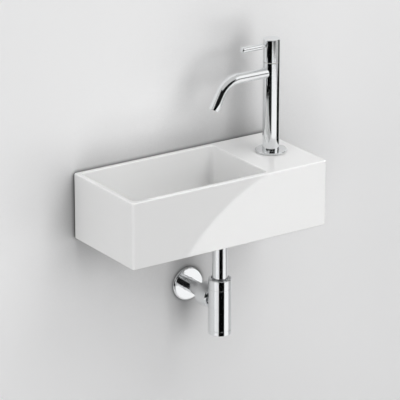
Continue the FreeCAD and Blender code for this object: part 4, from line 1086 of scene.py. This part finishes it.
def only_front_material(name, tint, bounced):
    """A matt surface, clear from behind, that throws less light about than it seems to.

    Its colour carries painted shade: ambient occlusion darkens it near other things, broadly and at
    contacts, standing in for the shadows of very soft light.
    """
    material, shader = blank_material(name)
    nodes, links = material.node_tree.nodes, material.node_tree.links
    path = nodes.new("ShaderNodeLightPath")
    looked_at = nodes.new("ShaderNodeMath")
    looked_at.operation = "MAXIMUM"
    wire(path, "Is Camera Ray", looked_at, 0)
    wire(path, "Is Glossy Ray", looked_at, 1)
    two_tone(material, shader, looked_at.outputs["Value"], shade(tint, bounced), tint)
    # Painted shade: ambient occlusion darkens the colour near other pieces, once broadly and once
    # at contacts.
    for reach in (PAINTED_WALL_SHADE_REACH, PAINTED_CONTACT_SHADE_REACH):
        painted_shade = nodes.new("ShaderNodeAmbientOcclusion")
        painted_shade.samples = 16
        painted_shade.inputs["Distance"].default_value = reach
        links.new(shader.inputs["Base Color"].links[0].from_socket, painted_shade.inputs["Color"])
        wire(painted_shade, "Color", shader, "Base Color")
    shader.inputs["Roughness"].default_value = 0.9
    shader.inputs["Specular IOR Level"].default_value = 0.0
    clear = nodes.new("ShaderNodeBsdfTransparent")
    face = nodes.new("ShaderNodeNewGeometry")
    mix = nodes.new("ShaderNodeMixShader")
    wire(face, "Backfacing", mix, "Fac")
    wire(shader, "BSDF", mix, 1)
    wire(clear, "BSDF", mix, 2)
    wire(mix, "Shader", nodes["Material Output"], "Surface")
    return material


def stage_plane(name, corners, material):
    """A flat stage piece from its corners."""
    mesh = bpy.data.meshes.new(name)
    mesh.from_pydata([list(c) for c in corners], [], [list(range(len(corners)))])
    thing = linked(name, mesh)
    mesh.materials.append(material)
    return thing


def upright_sheet(sides, place, heights):
    """The corners of an upright sheet that faces the front."""
    (left, right), (low, high) = sides, heights
    return [(left, place, low), (right, place, low), (right, place, high), (left, place, high)]


def side_sheet(place, depths, heights):
    """The corners of an upright sheet square to the wall."""
    (front, back), (low, high) = depths, heights
    return [(place, front, low), (place, back, low), (place, back, high), (place, front, high)]


def glow_material(name, level):
    """A plain glowing surface."""
    material = bpy.data.materials.new(name)
    material.use_nodes = True
    nodes = material.node_tree.nodes
    nodes.remove(nodes["Principled BSDF"])
    glow = nodes.new("ShaderNodeEmission")
    glow.inputs["Strength"].default_value = level
    wire(glow, "Emission", nodes["Material Output"], "Surface")
    return material


def heading(turn, rise):
    """A direction by its turn to the right of the camera's own side, and its rise, in degrees."""
    to_camera = Vector((-math.sin(CAMERA_YAW), -math.cos(CAMERA_YAW), 0))
    to_right = Vector((math.cos(CAMERA_YAW), -math.sin(CAMERA_YAW), 0))
    flat = to_camera * math.cos(math.radians(turn)) + to_right * math.sin(math.radians(turn))
    return flat + UP * math.tan(math.radians(rise))


def panel(name, seen_from, turns, rises, distance, level):
    """A panel that only polished surfaces show, covering these angles as seen from a point."""
    ways = [(turns[0], rises[0]), (turns[1], rises[0]), (turns[1], rises[1]), (turns[0], rises[1])]
    corners = [seen_from + heading(*way) * distance for way in ways]
    return mirrored_plane(name, corners, level)


def mirrored_plane(name, corners, level):
    """A glowing or black sheet that shows in polished surfaces and nowhere else."""
    thing = stage_plane(name, corners, glow_material(name, level))
    for way in ("camera", "diffuse", "transmission", "volume_scatter", "shadow"):
        setattr(thing, "visible_" + way, False)
    return thing


def soft_light(name, turn, rise, distance, spread, level):
    """A soft light that polished surfaces don't show.

    It stands this many degrees to the right of straight ahead and this many up, and is this many
    degrees wide and high. The level is how bright it makes a white surface that faces it.
    """
    turn, rise = math.radians(turn), math.radians(rise)
    away = Vector((math.sin(turn), -math.cos(turn), 0)) * math.cos(rise) + UP * math.sin(rise)
    data = bpy.data.lights.new(name, "AREA")
    data.shape = "RECTANGLE"
    data.size, data.size_y = (2 * distance * math.tan(math.radians(angle / 2)) for angle in spread)
    data.energy = level * (math.pi * distance) ** 2
    return placed_light(data, LIT_PLACE + away * distance, (-away).to_track_quat("-Z", "Y"))


def placed_light(data, place, turn):
    """A light in the scene that neither the camera nor polished surfaces show."""
    light = linked(data.name, data)
    light.location = place
    light.rotation_euler = turn.to_euler()
    light.visible_glossy = False
    light.visible_camera = False
    return light


def front_beam(level):
    """A round beam square to the basin's front, on the basin alone. Its edge is the arc there."""
    data = bpy.data.lights.new("beam", "AREA")
    data.shape = "DISK"
    data.size = 2 * BEAM_RADIUS
    data.spread = BEAM_SPREAD
    data.energy = level * math.pi * math.pi * BEAM_RADIUS ** 2
    only_on(placed_light(data, BEAM_PLACE, INTO_WALL.to_track_quat("-Z", "Y")), "beam_lit")


def only_on(light, name):
    """A collection whose pieces are the only ones that the light reaches."""
    lit = bpy.data.collections.new(name)
    light.light_linking.receiver_collection = lit
    return lit


def make_world(fill, seen):
    """Light from all round, a pale background for the camera, and a dark studio in reflections."""
    world = bpy.data.worlds.new("studio")
    bpy.context.scene.world = world
    world.use_nodes = True
    nodes = world.node_tree.nodes
    plain = nodes["Background"]
    plain.inputs["Color"].default_value = (1, 1, 1, 1)
    plain.inputs["Strength"].default_value = fill
    pale = nodes.new("ShaderNodeBackground")
    pale.inputs["Color"].default_value = (*seen, 1)
    dark = nodes.new("ShaderNodeBackground")
    dark.inputs["Strength"].default_value = DARK_STUDIO
    path = nodes.new("ShaderNodeLightPath")
    shiny = nodes.new("ShaderNodeMixShader")
    watched = nodes.new("ShaderNodeMixShader")
    wire(path, "Is Glossy Ray", shiny, "Fac")
    wire(plain, "Background", shiny, 1)
    wire(dark, "Background", shiny, 2)
    wire(path, "Is Camera Ray", watched, "Fac")
    wire(shiny, "Shader", watched, 1)
    wire(pale, "Background", watched, 2)
    wire(watched, "Shader", nodes["World Output"], "Surface")


def make_camera():
    """The camera at the photograph's angle."""
    data = bpy.data.cameras.new("camera")
    data.lens = CAMERA_LENS
    data.sensor_width = 36.0
    data.clip_end = 50
    camera = linked("camera", data)
    camera.location = CAMERA_PLACE
    camera.rotation_euler = (math.pi / 2 - CAMERA_PITCH, 0, -CAMERA_YAW)
    bpy.context.scene.camera = camera


def make_room(finish):
    """The wall and the floor. Returns the wall."""
    # Both colours carry painted shade that darkens them near the basin and its fittings.
    wall_paint = only_front_material("wall_paint", finish.wall, WALL_BOUNCE)
    floor_paint = only_front_material("floor_paint", finish.floor, FLOOR_BOUNCE)
    corners = upright_sheet((-WALL_SIDE, WALL_SIDE), WALL_PLACE, (FLOOR_HEIGHT, WALL_TOP))
    wall = stage_plane("wall", corners, wall_paint)
    stage_plane("floor", circle(FLOOR_RADIUS, FLOOR_HEIGHT, 64), floor_paint)
    return wall


def make_panels(glow):
    """The bright panels and black flags round the basin that polished surfaces mirror."""
    panel("panel_grey", TAP_TOP, (50, 95), (-15.5, -11.5), 1.3, GREY_GLOW)
    panel("panel_side_low", TAP_TOP, (60, 85), (-11, -5), 1.3, glow)
    panel("panel_side_high", TAP_TOP, (55, 95), (7, 45), 1.3, glow)
    panel("panel_low", BOTTLE, (45, 91), (-34, -16.5), 1.3, glow)
    panel("flag_low", BOTTLE, (-12, 42), (-34, -12), 1.2, 0)
    front = [(x * MM, FRONT_PANEL_PLACE, z * MM) for x, z in FRONT_PANEL]
    mirrored_plane("panel_front", front, glow)
    mirrored_plane("ceiling", [(-2, -4, 2.1), (-2, 0, 2.1), (2, 0, 2.1), (2, -4, 2.1)], SOFT_GLOW)
    mirrored_plane("panel_left", side_sheet(-1.5, (-1.2, 0), (0.3, 1.9)), SOFT_GLOW)
    mirrored_plane("flag_left", side_sheet(-0.14, (-0.6, -0.003), (0.10, 0.19)), 0)


class BASIN_OT_stage(BuildStep, bpy.types.Operator):
    """Set up the wall, floor, lights, reflected panels and camera"""

    bl_idname = "basin.stage"
    bl_label = "Stage"

    def build(self, scene):
        light, finish = scene.basin_light, scene.basin_finish
        wall = make_room(finish)
        make_panels(light.panel)
        soft_light("key", 3, 5, 5, (28, 40), light.key)
        soft_light("high", 30, 48, 3.5, (30, 24), light.high)
        soft_light("top", 0, 82, 3, (40, 30), light.top)
        soft_light("side", -86, 6, 3, (20, 30), light.side)
        front_beam(light.beam)
        wash = soft_light("wash", 38, -22, 4, (34, 30), light.wash)
        only_on(wash, "wash_lit").objects.link(wall)
        soft_light("behind", 172, 22, 3, (40, 40), light.back)
        make_world(light.fill, BACKGROUND)
        make_camera()
        scene.view_settings.view_transform = "Standard"


class BASIN_PT_panel(bpy.types.Panel):
    """The basin's settings and build steps"""

    bl_idname = "BASIN_PT_panel"
    bl_label = "Basin"
    bl_space_type = "VIEW_3D"
    bl_region_type = "UI"
    bl_category = "Basin"

    def draw(self, context):
        for group in SETTINGS:
            settings = getattr(context.scene, group)
            box = self.layout.box()
            for name in settings.bl_rna.properties.keys():
                if name not in ("rna_type", "name"):
                    box.prop(settings, name)
        for operator in OPERATORS:
            self.layout.operator(operator.bl_idname)


OPERATORS = (
    BASIN_OT_stage,
    BASIN_OT_body,
    BASIN_OT_fixings,
    BASIN_OT_waste,
    BASIN_OT_plug,
    BASIN_OT_trap,
    BASIN_OT_tap,
    BASIN_OT_headwork,
    BASIN_OT_handle,
)
SETTINGS = {"basin_sizes": BasinSizes, "basin_finish": BasinFinish, "basin_light": BasinLight}
CLASSES = (*SETTINGS.values(), *OPERATORS, BASIN_PT_panel)


def register():
    """Makes the classes and settings known."""
    for entry in CLASSES:
        bpy.utils.register_class(entry)
    for name, group in SETTINGS.items():
        setattr(bpy.types.Scene, name, bpy.props.PointerProperty(type=group))


def unregister():
    """Takes them away again."""
    for name in SETTINGS:
        delattr(bpy.types.Scene, name)
    for entry in reversed(CLASSES):
        bpy.utils.unregister_class(entry)


def main():
    """Builds every piece in order."""
    register()
    bpy.ops.basin.stage()
    bpy.ops.basin.body()
    bpy.ops.basin.fixings()
    bpy.ops.basin.waste()
    bpy.ops.basin.plug()
    bpy.ops.basin.trap()
    bpy.ops.basin.tap()
    bpy.ops.basin.headwork()
    bpy.ops.basin.handle()


if __name__ == "__main__":
    main()
